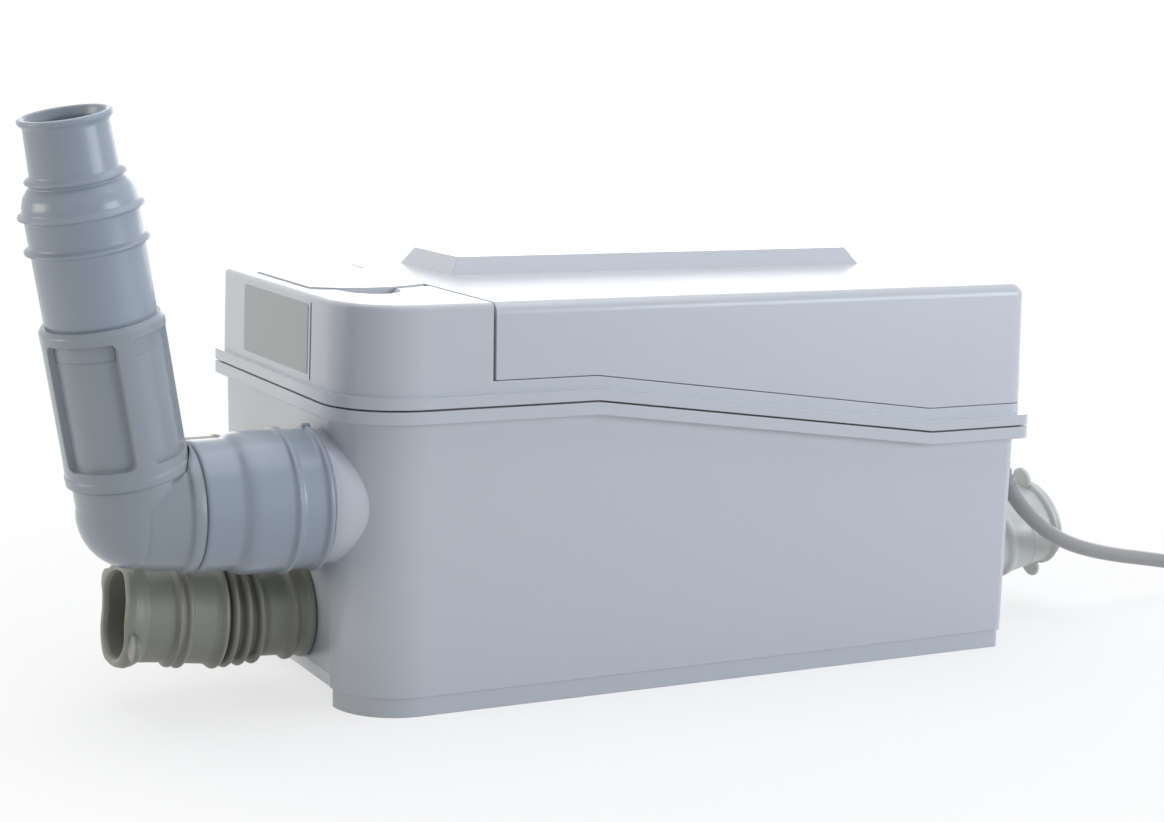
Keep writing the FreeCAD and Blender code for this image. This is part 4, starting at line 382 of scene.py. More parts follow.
CORD_RADIUS = 3.3
ROUTE = [
    (156.0, -50.0, 84.0), (156.8, -50.0, 73.0), (164.2, -51.0, 60.0), (176.5, -49.5, 48.2),
    (195.0, -45.5, 36.5), (226.0, -37.5, 26.3), (274.0, -27.5, 16.6), (318.0, -25.5, 6.8),
    (357.0, -28.5, 3.7),
]
COIL_X, COIL_Y, COIL_OUTER, COIL_PITCH = 395.0, 12.0, 42.0, 8.2
TURNS_IN, TURNS_OUT = 2.0, 1.5
POINTS_PER_TURN = 16


def coil_point(turns):
    """A point of the coil after so many turns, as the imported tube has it."""
    low = CORD_RADIUS + 0.2
    high = low + COIL_PITCH
    if turns <= TURNS_IN:
        radius = COIL_OUTER - COIL_PITCH * turns
        height = low
    elif turns <= TURNS_IN + 0.5:
        part = (turns - TURNS_IN) / 0.5
        radius = COIL_OUTER - COIL_PITCH * TURNS_IN
        height = low + (high - low) * (3 - 2 * part) * part * part
    else:
        radius = COIL_OUTER - COIL_PITCH * TURNS_IN + COIL_PITCH * (turns - TURNS_IN - 0.5)
        height = high
    angle = math.radians(360 * turns - 90)
    return (COIL_X + radius * math.cos(angle), COIL_Y + radius * math.sin(angle), height)


all_turns = TURNS_IN + 0.5 + TURNS_OUT
coil_points = [coil_point(i / POINTS_PER_TURN) for i in range(int(all_turns * POINTS_PER_TURN) + 1)]
out_x, out_y, out_z = coil_points[-1]
tail_points = [(out_x + 20, out_y, out_z + 0.3), (out_x + 46, out_y - 2.5, out_z + 3.0),
               (out_x + 66, out_y - 4.0, 16.8), (out_x + 84, out_y - 4.2, 17.2)]


def cord_curve(bevel):
    """The cord's spline, round or bare."""
    data = bpy.data.curves.new("mains_lead", "CURVE")
    data.dimensions = "3D"
    data.bevel_depth = bevel
    data.bevel_resolution = 6
    data.resolution_u = 8
    data.use_fill_caps = True
    spline = data.splines.new("NURBS")
    points = ROUTE + coil_points + tail_points
    spline.points.add(len(points) - 1)
    for point, place in zip(spline.points, points):
        point.co = (*[c * MM for c in place], 1.0)
    spline.order_u = 3
    spline.use_endpoint_u = True
    return data


def cord_line():
    """The points that the cord's own spline runs through."""
    bare = bpy.data.objects.new("lead_line", cord_curve(0.0))
    scene.collection.objects.link(bare)
    line = bpy.data.meshes.new_from_object(bare.evaluated_get(bpy.context.evaluated_depsgraph_get()))
    points = [vertex.co.copy() for vertex in line.vertices]
    bpy.data.objects.remove(bare)
    return points


# Turned pieces: a closed outline swept round an axis that may bend

CORNER_PARTS = (0.0, 0.04, 0.28, 0.5, 0.72, 0.96, 1.0)
SEAM_LINES = (-0.02, -0.008, 0.008, 0.02)


def softened_outline(points, fillet):
    """The closed outline with each corner rounded and its flats held straight."""
    out = []
    count = len(points)
    for i, (x, y) in enumerate(points):
        corner = Vector((x, y))
        sides = []
        for other in (points[i - 1], points[(i + 1) % count]):
            run = Vector(other) - corner
            reach = min(fillet, run.length * 0.42)
            sides.append(corner + run.normalized() * reach)
        if x < 1e-6:
            out.append((x, y))
            continue
        for part in CORNER_PARTS:
            spot = sides[0] * (1 - part) ** 2 + corner * 2 * part * (1 - part) + sides[1] * part ** 2
            out.append((max(spot.x, 0.0), spot.y))
    return out


def straight_axis(origin, direction):
    """A frame for a station along a straight axis, in millimetres."""
    along = Vector(direction).normalized()
    if abs(along.z) > 0.9:
        side = along.orthogonal().normalized()
    else:
        side = Vector((0, 0, 1)).cross(along).normalized()
    other = along.cross(side)

    def frame_at(station):
        return Vector(origin) + along * station, side, other
    return frame_at


def turned_mesh(name, outline, frame_at, segments=96, ripple=None, seam_at=()):
    """A closed outline of (radius, station) swept round the axis, with extra lines at its mould seams."""
    angles = [2 * math.pi * i / segments for i in range(segments)]
    for seam in seam_at:
        angles += [seam + line for line in SEAM_LINES]
    angles = sorted(angle % (2 * math.pi) for angle in angles)
    points = []
    faces = []
    for radius, station in outline:
        centre, side, other = frame_at(station)
        along = side.cross(other)
        for angle in angles:
            push, shift = ripple(radius, station, angle) if ripple else (0.0, 0.0)
            spoke = side * math.cos(angle) + other * math.sin(angle)
            points.append((centre + spoke * max(radius + push, 0.0) + along * shift) * MM)
    count = len(angles)
    rows = len(outline)
    for row in range(rows):
        for j in range(count):
            k = (j + 1) % count
            below = (row + 1) % rows
            faces.append((row * count + j, row * count + k, below * count + k, below * count + j))
    mesh = bpy.data.meshes.new(name)
    mesh.from_pydata(points, [], faces)
    tidy = bmesh.new()
    tidy.from_mesh(mesh)
    bmesh.ops.remove_doubles(tidy, verts=tidy.verts, dist=1e-7)
    bmesh.ops.dissolve_degenerate(tidy, edges=tidy.edges, dist=1e-8)
    bmesh.ops.recalc_face_normals(tidy, faces=tidy.faces)
    for face in tidy.faces:
        face.smooth = True
    tidy.to_mesh(mesh)
    tidy.free()
    return mesh


def joined(name, meshes):
    """One mesh from several."""
    together = bmesh.new()
    for mesh in meshes:
        together.from_mesh(mesh)
    mesh = bpy.data.meshes.new(name)
    together.to_mesh(mesh)
    together.free()
    return mesh


# Geometry Nodes trees, each with named inputs

def new_tree(name, sizes):
    """An empty tree with a geometry input, named sizes, a finish and a geometry output."""
    tree = bpy.data.node_groups.new(name, "GeometryNodeTree")
    tree.is_modifier = True
    tree.interface.new_socket("Geometry", in_out="INPUT", socket_type="NodeSocketGeometry")
    for label, value in sizes.items():
        kind = "NodeSocketInt" if isinstance(value, int) else "NodeSocketFloat"
        tree.interface.new_socket(label, in_out="INPUT", socket_type=kind).default_value = value
    tree.interface.new_socket("Finish", in_out="INPUT", socket_type="NodeSocketMaterial")
    tree.interface.new_socket("Geometry", in_out="OUTPUT", socket_type="NodeSocketGeometry")
    given = tree.nodes.new("NodeGroupInput")
    return tree, tree.nodes, tree.links, given


def close_tree(nodes, links, given, geometry):
    """Every tree ends smooth, realized and with its finish set."""
    smooth = nodes.new("GeometryNodeSetShadeSmooth")
    links.new(geometry, smooth.inputs["Geometry"])
    real = nodes.new("GeometryNodeRealizeInstances")
    links.new(smooth.outputs["Geometry"], real.inputs["Geometry"])
    finish = nodes.new("GeometryNodeSetMaterial")
    links.new(real.outputs["Geometry"], finish.inputs["Geometry"])
    links.new(given.outputs["Finish"], finish.inputs["Material"])
    out = nodes.new("NodeGroupOutput")
    links.new(finish.outputs["Geometry"], out.inputs["Geometry"])


def bead_ring_tree():
    """Round beads across a path, such as a bellows' pleats or a strain relief's rings."""
    tree, nodes, links, given = new_tree("bead_rings", {
        "First": 0.01, "Last": 0.02, "Count": 3, "Ring Radius": 0.017, "Bead Radius": 0.002,
        "Bead Height": 1.0, "End Scale": 1.0, "Segments": 72})
    trim = nodes.new("GeometryNodeTrimCurve")
    trim.mode = "LENGTH"
    links.new(given.outputs["Geometry"], trim.inputs["Curve"])
    links.new(given.outputs["First"], trim.inputs[4])
    links.new(given.outputs["Last"], trim.inputs[5])
    spots = nodes.new("GeometryNodeCurveToPoints")
    spots.mode = "COUNT"
    links.new(trim.outputs["Curve"], spots.inputs["Curve"])
    links.new(given.outputs["Count"], spots.inputs["Count"])
    ring = nodes.new("GeometryNodeCurvePrimitiveCircle")
    links.new(given.outputs["Segments"], ring.inputs["Resolution"])
    links.new(given.outputs["Ring Radius"], ring.inputs["Radius"])
    bead = nodes.new("GeometryNodeCurvePrimitiveCircle")
    bead.inputs["Resolution"].default_value = 14
    links.new(given.outputs["Bead Radius"], bead.inputs["Radius"])
    tube = nodes.new("GeometryNodeCurveToMesh")
    links.new(ring.outputs["Curve"], tube.inputs["Curve"])
    links.new(bead.outputs["Curve"], tube.inputs["Profile Curve"])
    width = nodes.new("ShaderNodeCombineXYZ")
    width.inputs["X"].default_value = 1.0
    width.inputs["Y"].default_value = 1.0
    links.new(given.outputs["Bead Height"], width.inputs["Z"])
    flat = nodes.new("GeometryNodeTransform")
    links.new(tube.outputs["Mesh"], flat.inputs["Geometry"])
    links.new(width.outputs["Vector"], flat.inputs["Scale"])
    index = nodes.new("GeometryNodeInputIndex")
    last = nodes.new("ShaderNodeMath")
    last.operation = "SUBTRACT"
    last.inputs[1].default_value = 1.0
    links.new(given.outputs["Count"], last.inputs[0])
    taper = nodes.new("ShaderNodeMapRange")
    taper.inputs["To Min"].default_value = 1.0
    links.new(index.outputs["Index"], taper.inputs["Value"])
    links.new(last.outputs["Value"], taper.inputs["From Max"])
    links.new(given.outputs["End Scale"], taper.inputs["To Max"])
    size = nodes.new("ShaderNodeCombineXYZ")
    size.inputs["Z"].default_value = 1.0
    links.new(taper.outputs["Result"], size.inputs["X"])
    links.new(taper.outputs["Result"], size.inputs["Y"])
    place = nodes.new("GeometryNodeInstanceOnPoints")
    links.new(spots.outputs["Points"], place.inputs["Points"])
    links.new(flat.outputs["Geometry"], place.inputs["Instance"])
    links.new(spots.outputs["Rotation"], place.inputs["Rotation"])
    links.new(size.outputs["Vector"], place.inputs["Scale"])
    close_tree(nodes, links, given, place.outputs["Instances"])
    return tree


def tapered_tube_tree():
    """A round sleeve along a path, thick at its start and thin at its end."""
    tree, nodes, links, given = new_tree("tapered_tube", {
        "Start Radius": 0.0056, "End Radius": 0.0042, "Segments": 32})
    along = nodes.new("GeometryNodeSplineParameter")
    thick = nodes.new("ShaderNodeMapRange")
    links.new(along.outputs["Factor"], thick.inputs["Value"])
    links.new(given.outputs["Start Radius"], thick.inputs["To Min"])
    links.new(given.outputs["End Radius"], thick.inputs["To Max"])
    ring = nodes.new("GeometryNodeCurvePrimitiveCircle")
    ring.inputs["Radius"].default_value = 1.0
    links.new(given.outputs["Segments"], ring.inputs["Resolution"])
    tube = nodes.new("GeometryNodeCurveToMesh")
    tube.inputs["Fill Caps"].default_value = True
    links.new(given.outputs["Geometry"], tube.inputs["Curve"])
    links.new(ring.outputs["Curve"], tube.inputs["Profile Curve"])
    links.new(thick.outputs["Result"], tube.inputs["Scale"])
    close_tree(nodes, links, given, tube.outputs["Mesh"])
    return tree


def grip_tree():
    """Bars round a circle, such as the grip of a plug."""
    tree, nodes, links, given = new_tree("grip_bars", {
        "Circle Radius": 0.0165, "Count": 28, "Bar Length": 0.012, "Bar Radius": 0.0008})
    ring = nodes.new("GeometryNodeMeshCircle")
    links.new(given.outputs["Count"], ring.inputs["Vertices"])
    links.new(given.outputs["Circle Radius"], ring.inputs["Radius"])
    half = nodes.new("ShaderNodeMath")
    half.operation = "MULTIPLY"
    half.inputs[1].default_value = 0.5
    links.new(given.outputs["Bar Length"], half.inputs[0])
    bar = nodes.new("GeometryNodeMeshUVSphere")
    bar.inputs["Segments"].default_value = 10
    bar.inputs["Rings"].default_value = 8
    bar.inputs["Radius"].default_value = 1.0
    size = nodes.new("ShaderNodeCombineXYZ")
    links.new(given.outputs["Bar Radius"], size.inputs["X"])
    links.new(given.outputs["Bar Radius"], size.inputs["Y"])
    links.new(half.outputs["Value"], size.inputs["Z"])
    place = nodes.new("GeometryNodeInstanceOnPoints")
    links.new(ring.outputs["Mesh"], place.inputs["Points"])
    links.new(bar.outputs["Mesh"], place.inputs["Instance"])
    links.new(size.outputs["Vector"], place.inputs["Scale"])
    close_tree(nodes, links, given, place.outputs["Instances"])
    return tree


def baked(name, tree, base, values, finish):
    """What the tree makes of a curve or mesh, as a plain mesh."""
    holder = bpy.data.objects.new(name + "_base", base)
    scene.collection.objects.link(holder)
    modifier = holder.modifiers.new("make", "NODES")
    modifier.node_group = tree
    names = {item.name: item.identifier for item in tree.interface.items_tree
             if item.item_type == "SOCKET" and item.in_out == "INPUT"}
    for label, value in values.items():
        modifier[names[label]] = value
    modifier[names["Finish"]] = finish
    mesh = bpy.data.meshes.new_from_object(holder.evaluated_get(bpy.context.evaluated_depsgraph_get()))
    bpy.data.objects.remove(holder)
    mesh.name = name
    return mesh


def path_curve(name, points):
    """A plain line through points in metres."""
    data = bpy.data.curves.new(name, "CURVE")
    data.dimensions = "3D"
    spline = data.splines.new("POLY")
    spline.points.add(len(points) - 1)
    for spot, place in zip(spline.points, points):
        spot.co = (*place, 1.0)
    return data


bead_rings = bead_ring_tree()
tapered_tube = tapered_tube_tree()
grip_bars = grip_tree()


# Inlet sleeves: bent rubber sleeves with pleats, a double ring, a rolled lip and two lobes

WALL_FACE = 147.05
INLET_Y, INLET_Z = -15.0, 31.5
PIVOT = 30.0
BEND_REACH = 9.0
MOULD_SEAMS = (0.25, 0.25 + math.pi)
SEAM_WIDTH, SEAM_HEIGHT, SEAM_INNER = 0.012, 0.16, 16.4
LIP_REACH, LIP_BLEND = 11.0, 9.0
LOBE_RADIUS, LOBE_HALF, LOBE_INSET = 5.2, 1.2, 2.6
LINE_STEPS = 80


def bent_axis(side, lift, yaw):
    """Frames along a sleeve that leaves the wall level and turns up at its pleats."""
    level = Vector((side, 0, 0))
    lift, yaw = math.radians(lift), math.radians(yaw)
    out = Vector((side * math.cos(lift) * math.cos(yaw), math.cos(lift) * math.sin(yaw), math.sin(lift)))
    hinge = level.cross(out).normalized()
    whole = level.angle(out)
    start = Vector((WALL_FACE * side, INLET_Y, INLET_Z))
    radius = BEND_REACH / math.tan(whole / 2)

    def frame_at(station):
        along = min(max((station - PIVOT + BEND_REACH) / (2 * BEND_REACH), 0.0), 1.0)
        angle = whole * along
        spin = Matrix.Rotation(angle, 3, hinge)
        if station <= PIVOT - BEND_REACH:
            centre = start + level * station
        else:
            bend_start = start + level * (PIVOT - BEND_REACH)
            inward = hinge.cross(level)
            centre = bend_start + level * radius * math.sin(angle) + inward * radius * (1 - math.cos(angle))
            if station > PIVOT + BEND_REACH:
                centre += out * (station - PIVOT - BEND_REACH)
        return centre, spin @ Vector((0, 0, 1)), spin @ Vector((0, side, 0))
    return frame_at


def rubber_ripple(length, waves, lip):
    """Small unevenness of a soft sleeve: faint waves, a rolled lip that wanders, two mould seams."""
    def ripple(radius, station, angle):
        push = 0.08 * math.sin(3 * angle + waves) + 0.06 * math.sin(2 * angle + station * 0.21 + waves)
        shift = 0.0
        near_lip = min(max((station - length + LIP_REACH) / LIP_BLEND, 0.0), 1.0)
        rolled = lip * near_lip
        push += rolled * (math.sin(2 * angle + 0.6 + waves) * 0.5 + math.sin(5 * angle + waves) * 0.14)
        shift += rolled * (math.sin(3 * angle + waves) * 0.6 + math.sin(7 * angle) * 0.12)
        if radius > SEAM_INNER:
            for seam in MOULD_SEAMS:
                off = abs((angle - seam + math.pi) % (2 * math.pi) - math.pi)
                if off < SEAM_WIDTH:
                    push += SEAM_HEIGHT
        return push, shift
    return ripple


def inlet_sleeve(name, node, side, length, lift, yaw, lobe_angle, lobe_reach, outline, mouth, pleats,
                 waves, lip):
    """One sleeve: bored body, pleats from the bead tree, two lobes beside the mouth."""
    frame_at = bent_axis(side, lift, yaw)
    shell = turned_mesh(name + "_shell", softened_outline(outline + mouth, fillet=0.45), frame_at,
                        segments=120, ripple=rubber_ripple(length, waves, lip), seam_at=MOULD_SEAMS)
    line = [frame_at(length * i / LINE_STEPS)[0] * MM for i in range(LINE_STEPS + 1)]
    first, last, count, ring, bead, height, end_scale = pleats
    beads = baked(name + "_pleats", bead_rings, path_curve(name + "_line", line), {
        "First": first * MM, "Last": last * MM, "Count": count, "Ring Radius": ring * MM,
        "Bead Radius": bead * MM, "Bead Height": height, "End Scale": end_scale,
        "Segments": 96}, FINISHES[slot_of[node]])
    meshes = [shell, beads]
    centre, up_way, side_way = frame_at(length - LOBE_INSET)
    along = up_way.cross(side_way)
    tilt = math.radians(lobe_angle)
    lobe = softened_outline([(0, -LOBE_HALF), (LOBE_RADIUS, -LOBE_HALF), (LOBE_RADIUS, LOBE_HALF),
                             (0, LOBE_HALF)], fillet=1.0)
    for hand in (-1, 1):
        spoke = (up_way * math.cos(tilt) + side_way * math.sin(tilt)) * hand
        at = centre + spoke * lobe_reach
        meshes.append(turned_mesh(name + "_lobe", lobe, straight_axis(at, along), segments=40))
    finished(name, joined(name, meshes), "housing", node)


WALL_END = [
    (14.6, 0.1), (19.2, 0.1), (19.2, 1.9), (18.4, 3.0), (18.3, 6.0), (19.4, 6.9), (19.5, 8.3),
    (17.6, 10.2), (17.4, 17.2), (16.4, 19.0)]
LEFT_OUTLINE = WALL_END + [
    (16.4, 33.2), (20.4, 34.6), (20.8, 35.8), (19.3, 37.6), (18.7, 39.2), (18.5, 47.6), (20.3, 48.7),
    (20.4, 49.6), (18.9, 50.9), (18.8, 51.7), (20.0, 52.5), (20.0, 53.4), (18.1, 54.8), (17.8, 64.6),
    (19.0, 67.0), (19.7, 69.8), (19.2, 72.2)]
LEFT_MOUTH = [(17.8, 73.4), (16.3, 72.9), (15.7, 71.2), (15.9, 66.0), (16.2, 56.0), (14.6, 52.0)]
RIGHT_OUTLINE = WALL_END[:-2] + [
    (17.0, 12.0), (16.8, 31.4), (18.2, 33.0), (18.4, 34.4), (17.7, 36.0), (17.9, 44.6), (18.2, 45.2),
    (18.2, 46.0), (17.95, 46.6), (18.4, 55.0), (20.0, 56.0), (20.1, 57.3), (19.4, 58.0)]
RIGHT_MOUTH = [(17.0, 58.0), (16.0, 54.0), (16.0, 46.6), (14.6, 44.6)]
RIGHT_LIFT, RIGHT_YAW = 15.0, 2.0
inlet_sleeve("left_inlet_sleeve", "inlet_sleeve_left", side=-1, length=73.0, lift=5.0, yaw=0.0,
             lobe_angle=-68.0, lobe_reach=21.4, outline=LEFT_OUTLINE, mouth=LEFT_MOUTH,
             pleats=(21.2, 31.4, 3, 17.2, 2.7, 0.52, 1.03), waves=0.4, lip=1.0)
inlet_sleeve("right_inlet_sleeve", "inlet_sleeve_right", side=1, length=58.0, lift=RIGHT_LIFT,
             yaw=RIGHT_YAW, lobe_angle=-6.0, lobe_reach=21.6, outline=RIGHT_OUTLINE,
             mouth=RIGHT_MOUTH, pleats=(15.0, 27.5, 3, 16.9, 2.4, 0.6, 1.0), waves=1.9, lip=0.25)


# Outlet's two soft sleeves, the upper inlet's cap and the right sleeve's bung

SIDE_SEAMS = (math.pi / 2, 3 * math.pi / 2)
OUTLET_AT = (0, -41, 79.5)
OUTWARD = (-1, 0, 0)


def soft_ripple(inner, strength, waves):
    """Small unevenness of what lies outside the inner radius, so that bores keep their fit."""
    def ripple(radius, station, angle):
        if radius <= inner(station):
            return 0.0, 0.0
        wide = math.sin(2 * angle + waves + station * 0.05) * 0.5 + 0.5
        fine = math.sin(5 * angle + station * 0.13 + waves) * 0.5 + 0.5
        return strength * (wide * 0.7 + fine * 0.3), 0.0
    return ripple


DISCHARGE_OUTLINE = [
    (22.6, 152.2), (25.8, 152.2), (27.1, 153.1), (27.1, 154.3), (25.8, 155.4), (25.9, 164.1),
    (27.4, 165.0), (27.4, 166.2), (26.1, 167.3), (26.3, 180.0), (25.9, 182.6), (24.2, 185.9),
    (24.1, 198.3), (23.4, 199.3), (20.6, 199.3), (20.6, 175.0), (22.6, 172.0)]
NUB_AT = (-152.4, -39.5, 105.9)
NUB_OUTLINE = [(0, 0), (1.5, 0), (1.5, 3.2), (0, 3.2)]
discharge_turned = turned_mesh("discharge_turned", softened_outline(DISCHARGE_OUTLINE, fillet=1.1),
                               straight_axis(OUTLET_AT, OUTWARD), segments=128,
                               ripple=soft_ripple(lambda station: 22.8, strength=0.1, waves=0.7),
                               seam_at=SIDE_SEAMS)
nub = turned_mesh("discharge_nub", softened_outline(NUB_OUTLINE, fillet=0.4),
                  straight_axis(NUB_AT, OUTWARD), segments=24)
finished("discharge_rubber", joined("discharge_rubber", [discharge_turned, nub]), "housing",
         "discharge_sleeve")

REDUCER_OUTLINE = [
    (17.0, 61.0), (19.2, 61.0), (19.2, 72.2), (19.6, 73.2), (19.7, 97.5), (21.7, 98.5), (21.8, 99.0),
    (21.5, 99.5), (19.8, 100.4), (19.8, 109.9), (21.8, 110.7), (21.9, 111.2), (21.6, 111.7),
    (20.1, 112.4), (19.8, 115.0), (18.9, 117.6), (17.0, 120.2), (15.9, 121.4), (17.5, 122.4),
    (17.6, 122.9), (17.3, 123.4), (15.5, 124.5), (14.8, 141.3), (16.0, 142.5), (16.5, 143.5),
    (15.9, 144.5), (14.1, 144.5), (12.9, 141.5), (12.9, 119.8), (17.0, 111.0)]
REDUCER_SEAMS = (0.3, 0.3 + math.pi)
REDUCER_STEP, REDUCER_WIDE, REDUCER_NARROW = 116, 18.0, 14.3
ELBOW_CORNER = (-219.0, -41.0, 79.5)
LEAN_FORWARD, LEAN_OUT = 4.3, -10.5
LEAN = (Matrix.Rotation(math.radians(LEAN_FORWARD), 3, "X")
        @ Matrix.Rotation(math.radians(LEAN_OUT), 3, "Y"))
UPRIGHT = LEAN @ Vector((0, 0, 1))


def reducer_inner(station):
    """The inner radius of the reducer, wide below its step and narrow above."""
    return REDUCER_WIDE if station < REDUCER_STEP else REDUCER_NARROW


reducer_turned = turned_mesh("reducer_rubber", softened_outline(REDUCER_OUTLINE, fillet=0.7),
                             straight_axis(ELBOW_CORNER, UPRIGHT), segments=128,
                             ripple=soft_ripple(reducer_inner, strength=0.12, waves=2.1),
                             seam_at=REDUCER_SEAMS)
finished("reducer_rubber", reducer_turned, "outlet_elbow", "reducer_sleeve")


def rounded_block(name, low, high, radius):
    """A block between two corners with round edges, in millimetres."""
    block = bmesh.new()
    bmesh.ops.create_cube(block, size=1.0)
    for vertex in block.verts:
        spot = [(low[i] + high[i]) / 2 + vertex.co[i] * (high[i] - low[i]) for i in range(3)]
        vertex.co = Vector(spot) * MM
    bmesh.ops.bevel(block, geom=list(block.edges), offset=radius * MM, offset_type="OFFSET", segments=4,
                    profile=0.5, affect="EDGES")
    for face in block.faces:
        face.smooth = True
    mesh = bpy.data.meshes.new(name)
    block.to_mesh(mesh)
    block.free()
    return mesh


UPPER_Y, UPPER_Z = 38.0, 70.4
CAP_OUTLINE = [
    (17.05, 0.8), (20.7, 0.8), (21.0, 2.0), (20.7, 3.2), (19.8, 4.2), (19.8, 14.0), (20.4, 14.8),
    (20.4, 16.0), (19.8, 16.8), (19.8, 36.0), (19.2, 37.4), (17.8, 38.0), (0, 38.0), (0, 35.0),
    (17.05, 35.0)]
cap_axis = straight_axis((-WALL_FACE, UPPER_Y, UPPER_Z), OUTWARD)
cap_turned = turned_mesh("cap_turned", softened_outline(CAP_OUTLINE, fillet=0.7), cap_axis,
                         segments=112,
                         ripple=soft_ripple(lambda station: 17.3, strength=0.08, waves=1.3),
                         seam_at=SIDE_SEAMS)
cap_tab = rounded_block("cap_tab", low=(-WALL_FACE - 44.0, UPPER_Y - 1.5, UPPER_Z - 9.0),
                        high=(-WALL_FACE - 37.0, UPPER_Y + 1.5, UPPER_Z + 9.0), radius=0.8)
finished("upper_cap_rubber", joined("upper_cap_rubber", [cap_turned, cap_tab]), "upper_inlet_cap",
         "upper_inlet_cap")

BUNG_RADIUS = 15.7
BUNG_OUTLINE = [
    (0, 43.0), (BUNG_RADIUS - 1.0, 43.0), (BUNG_RADIUS, 45.0), (BUNG_RADIUS, 53.8), (16.4, 58.3),
    (18.7, 58.3), (18.9, 59.2), (18.6, 60.2), (17.8, 60.9), (12.5, 60.9), (11.5, 58.6), (0, 58.6)]
bung_turned = turned_mesh("bung", softened_outline(BUNG_OUTLINE, fillet=0.5),
                          bent_axis(1, RIGHT_LIFT, RIGHT_YAW), segments=112)
finished("bung", bung_turned, "blanking_plug", "blanking_plug")


# Cord, its tapered strain relief and its plug

PLUG_AT = (tail_points[-1][0], tail_points[-1][1], 17.2)
RELIEF_TOP = 90.0
RELIEF_LENGTH = 30.0
GRIP_AT = 25.5


def mains_cord():
    """The cord as one round line, with the pieces on it."""
    cord = bpy.data.objects.new("mains_lead", cord_curve(CORD_RADIUS * MM))
    scene.collection.objects.link(cord)
    cord.data.materials.append(FINISHES["cord"])
    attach(cord, "housing")
    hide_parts("mains_cord", "mains_cord_coil", "mains_cord_tail")


def strain_relief():
    """A ringed boot that tapers along the first stretch of the cord."""
    line = [Vector((ROUTE[0][0], ROUTE[0][1], RELIEF_TOP)) * MM]
    walked = 0.0
    for spot in cord_line():
        walked += (spot - line[-1]).length
        if walked > RELIEF_LENGTH * MM:
            break
        line.append(spot)
    finish = FINISHES[slot_of["cord_gland"]]
    path = path_curve("relief_line", line)
    boot = baked("relief_boot", tapered_tube, path,
                 {"Start Radius": 4.3 * MM, "End Radius": 3.6 * MM, "Segments": 36}, finish)
    rings = baked("relief_rings", bead_rings, path, {
        "First": 3.0 * MM, "Last": 27.0 * MM, "Count": 8, "Ring Radius": 4.1 * MM, "Bead Radius": 0.55 * MM,
        "Bead Height": 1.0, "End Scale": 0.87, "Segments": 40}, finish)
    return finished("strain_relief", joined("strain_relief", [boot, rings]), "housing", "cord_gland",
                    stands_for=False)


def plug_shell():
    """The plug's moulded body: stepped neck, waist with grip bars, face with a shallow well."""
    neck = [(0, 0.0), (4.6, 0.0), (5.6, 3.0), (5.3, 6.0), (6.6, 9.0), (10.4, 13.2), (15.2, 17.2),
            (16.6, 20.0), (16.2, 26.0), (16.9, 31.0), (17.0, 37.6), (15.8, 40.0), (14.4, 40.0),
            (14.0, 38.6), (0, 38.6)]
    shell = turned_mesh("plug_turned", softened_outline(neck, fillet=0.8),
                        straight_axis(PLUG_AT, (1, 0, 0)), segments=72)
    bars = baked("plug_bars", grip_bars, bpy.data.meshes.new("grip_start"), {
        "Circle Radius": 16.05 * MM, "Count": 30, "Bar Length": 11.0 * MM, "Bar Radius": 0.85 * MM},
        FINISHES["cord"])
    grip_place = (Vector(PLUG_AT) + Vector((GRIP_AT, 0, 0))) * MM
    bars.transform(Matrix.Translation(grip_place) @ Matrix.Rotation(math.pi / 2, 4, "Y"))
    return finished("plug_shell", joined("plug_shell", [shell, bars]), "housing", "plug_body")


relief = strain_relief()
plug = plug_shell()
mains_cord()


# Bare plate on the lid's left face and the thin strip beside it, laid on the wall

PLATE_FRONT, PLATE_BACK = -28.0, 44.4
PLATE_LOW, PLATE_HIGH = 123.8, 150.2
PLATE_CORNER, PLATE_THICK = 1.2, 0.25
STRIP_FRONT, STRIP_BACK = PLATE_FRONT - 3.1, PLATE_FRONT - 2.4
STRIP_LOW, STRIP_HIGH = 122.0, 151.0
STRIP_CORNER, STRIP_THICK = 0.2, 0.2
RAY_START = -300.0
FOIL_GREY = (156, 160, 160)
EDGE_GREY = (112, 113, 112)
STREAK_SCALE, STREAK_STRETCH = 2600.0, 0.03


def face_search(node):
    """A search tree over a CAD node's faces."""
    mesh = frame["nodes"][node].data
    return BVHTree.FromPolygons([vertex.co.copy() for vertex in mesh.vertices],
                                [tuple(face.vertices) for face in mesh.polygons])


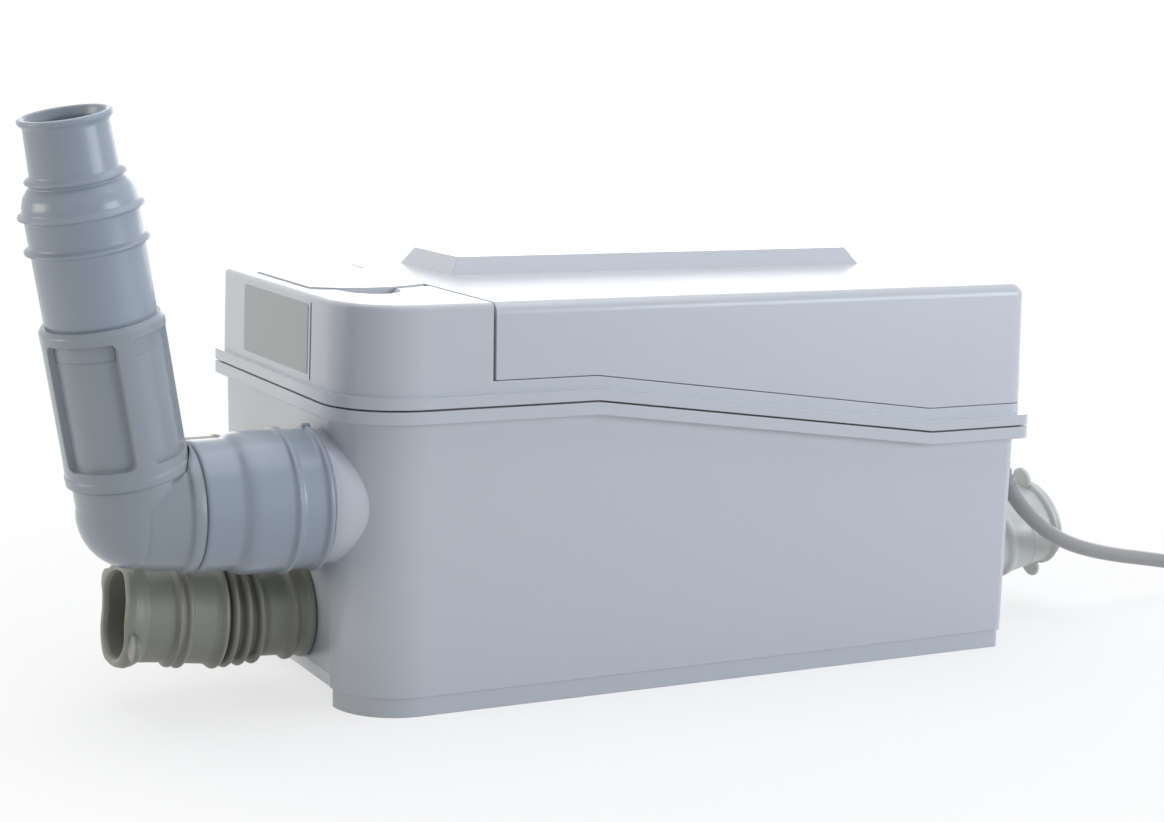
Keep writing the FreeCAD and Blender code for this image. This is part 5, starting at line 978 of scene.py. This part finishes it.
def plate_on_wall(name, y0, y1, z0, z1, corner, thick, wall):
    """A thin plate with round corners and a soft upper edge, laid on the wall's left face."""
    outline = []
    for cx, cz, start in ((y1 - corner, z1 - corner, 0), (y0 + corner, z1 - corner, 90),
                          (y0 + corner, z0 + corner, 180), (y1 - corner, z0 + corner, 270)):
        for i in range(7):
            angle = math.radians(start + 15 * i)
            outline.append((cx + corner * math.cos(angle), cz + corner * math.sin(angle)))
    middle_y, middle_z = (y0 + y1) / 2, (z0 + z1) / 2
    half_y, half_z = (y1 - y0) / 2, (z1 - z0) / 2
    rings = []
    for inset, lift in ((0.0, 0.02), (0.0, thick * 0.55), (0.12, thick), (0.6, thick)):
        ring = []
        for y, z in outline:
            y = middle_y + (y - middle_y) * (half_y - inset) / half_y
            z = middle_z + (z - middle_z) * (half_z - inset) / half_z
            hit = wall.ray_cast(Vector((RAY_START * MM, y * MM, z * MM)), Vector((1, 0, 0)))[0]
            ring.append(Vector((hit.x - lift * MM, y * MM, z * MM)))
        rings.append(ring)
    count = len(outline)
    points = [point for ring in rings for point in ring]
    faces = [tuple(range(count))[::-1], tuple(3 * count + i for i in range(count))]
    for row in range(3):
        for i in range(count):
            k = (i + 1) % count
            faces.append((row * count + i, row * count + k, (row + 1) * count + k, (row + 1) * count + i))
    mesh = bpy.data.meshes.new(name)
    mesh.from_pydata(points, [], faces)
    tidy = bmesh.new()
    tidy.from_mesh(mesh)
    bmesh.ops.recalc_face_normals(tidy, faces=tidy.faces)
    tidy.to_mesh(mesh)
    tidy.free()
    return mesh


def foil_finish():
    """Silver foil: faint brushed streaks along the plate and a soft sheen."""
    material, nodes, links, shader = surface("silver_foil", metallic=0.35, coat=0.25)
    shader.inputs["Coat Roughness"].default_value = 0.2
    place = nodes.new("ShaderNodeTexCoord").outputs["Object"]
    stretch = nodes.new("ShaderNodeMapping")
    stretch.inputs["Scale"].default_value = (1.0, STREAK_STRETCH, 1.0)
    links.new(place, stretch.inputs["Vector"])
    streak = noise(nodes, links, stretch.outputs["Vector"], STREAK_SCALE, detail=3.0, roughness=0.6)
    colour = linear(*FOIL_GREY)
    links.new(blended(nodes, links, streak, shade(colour, 0.94), shade(colour, 1.06)),
              shader.inputs["Base Color"])
    links.new(ranged(nodes, links, streak, 0.3, 0.7, 0.34, 0.46), shader.inputs["Roughness"])
    bump = nodes.new("ShaderNodeBump")
    bump.inputs["Strength"].default_value = 0.12
    bump.inputs["Distance"].default_value = 0.00002
    links.new(streak, bump.inputs["Height"])
    links.new(bump.outputs["Normal"], shader.inputs["Normal"])
    return material


lid_wall = face_search("tank_lid")
foil_edge = moulding("foil_edge", linear(*EDGE_GREY), 0.4, round_edge=0.0)
plate = plate_on_wall("bare_plate", PLATE_FRONT, PLATE_BACK, PLATE_LOW, PLATE_HIGH, PLATE_CORNER,
                      PLATE_THICK, lid_wall)
strip = plate_on_wall("plate_edge_strip", STRIP_FRONT, STRIP_BACK, STRIP_LOW, STRIP_HIGH,
                      STRIP_CORNER, STRIP_THICK, lid_wall)
finished("bare_plate", plate, "housing", "tank_lid", stands_for=False, finish=foil_finish())
finished("plate_edge_strip", strip, "housing", "tank_lid", stands_for=False, finish=foil_edge)
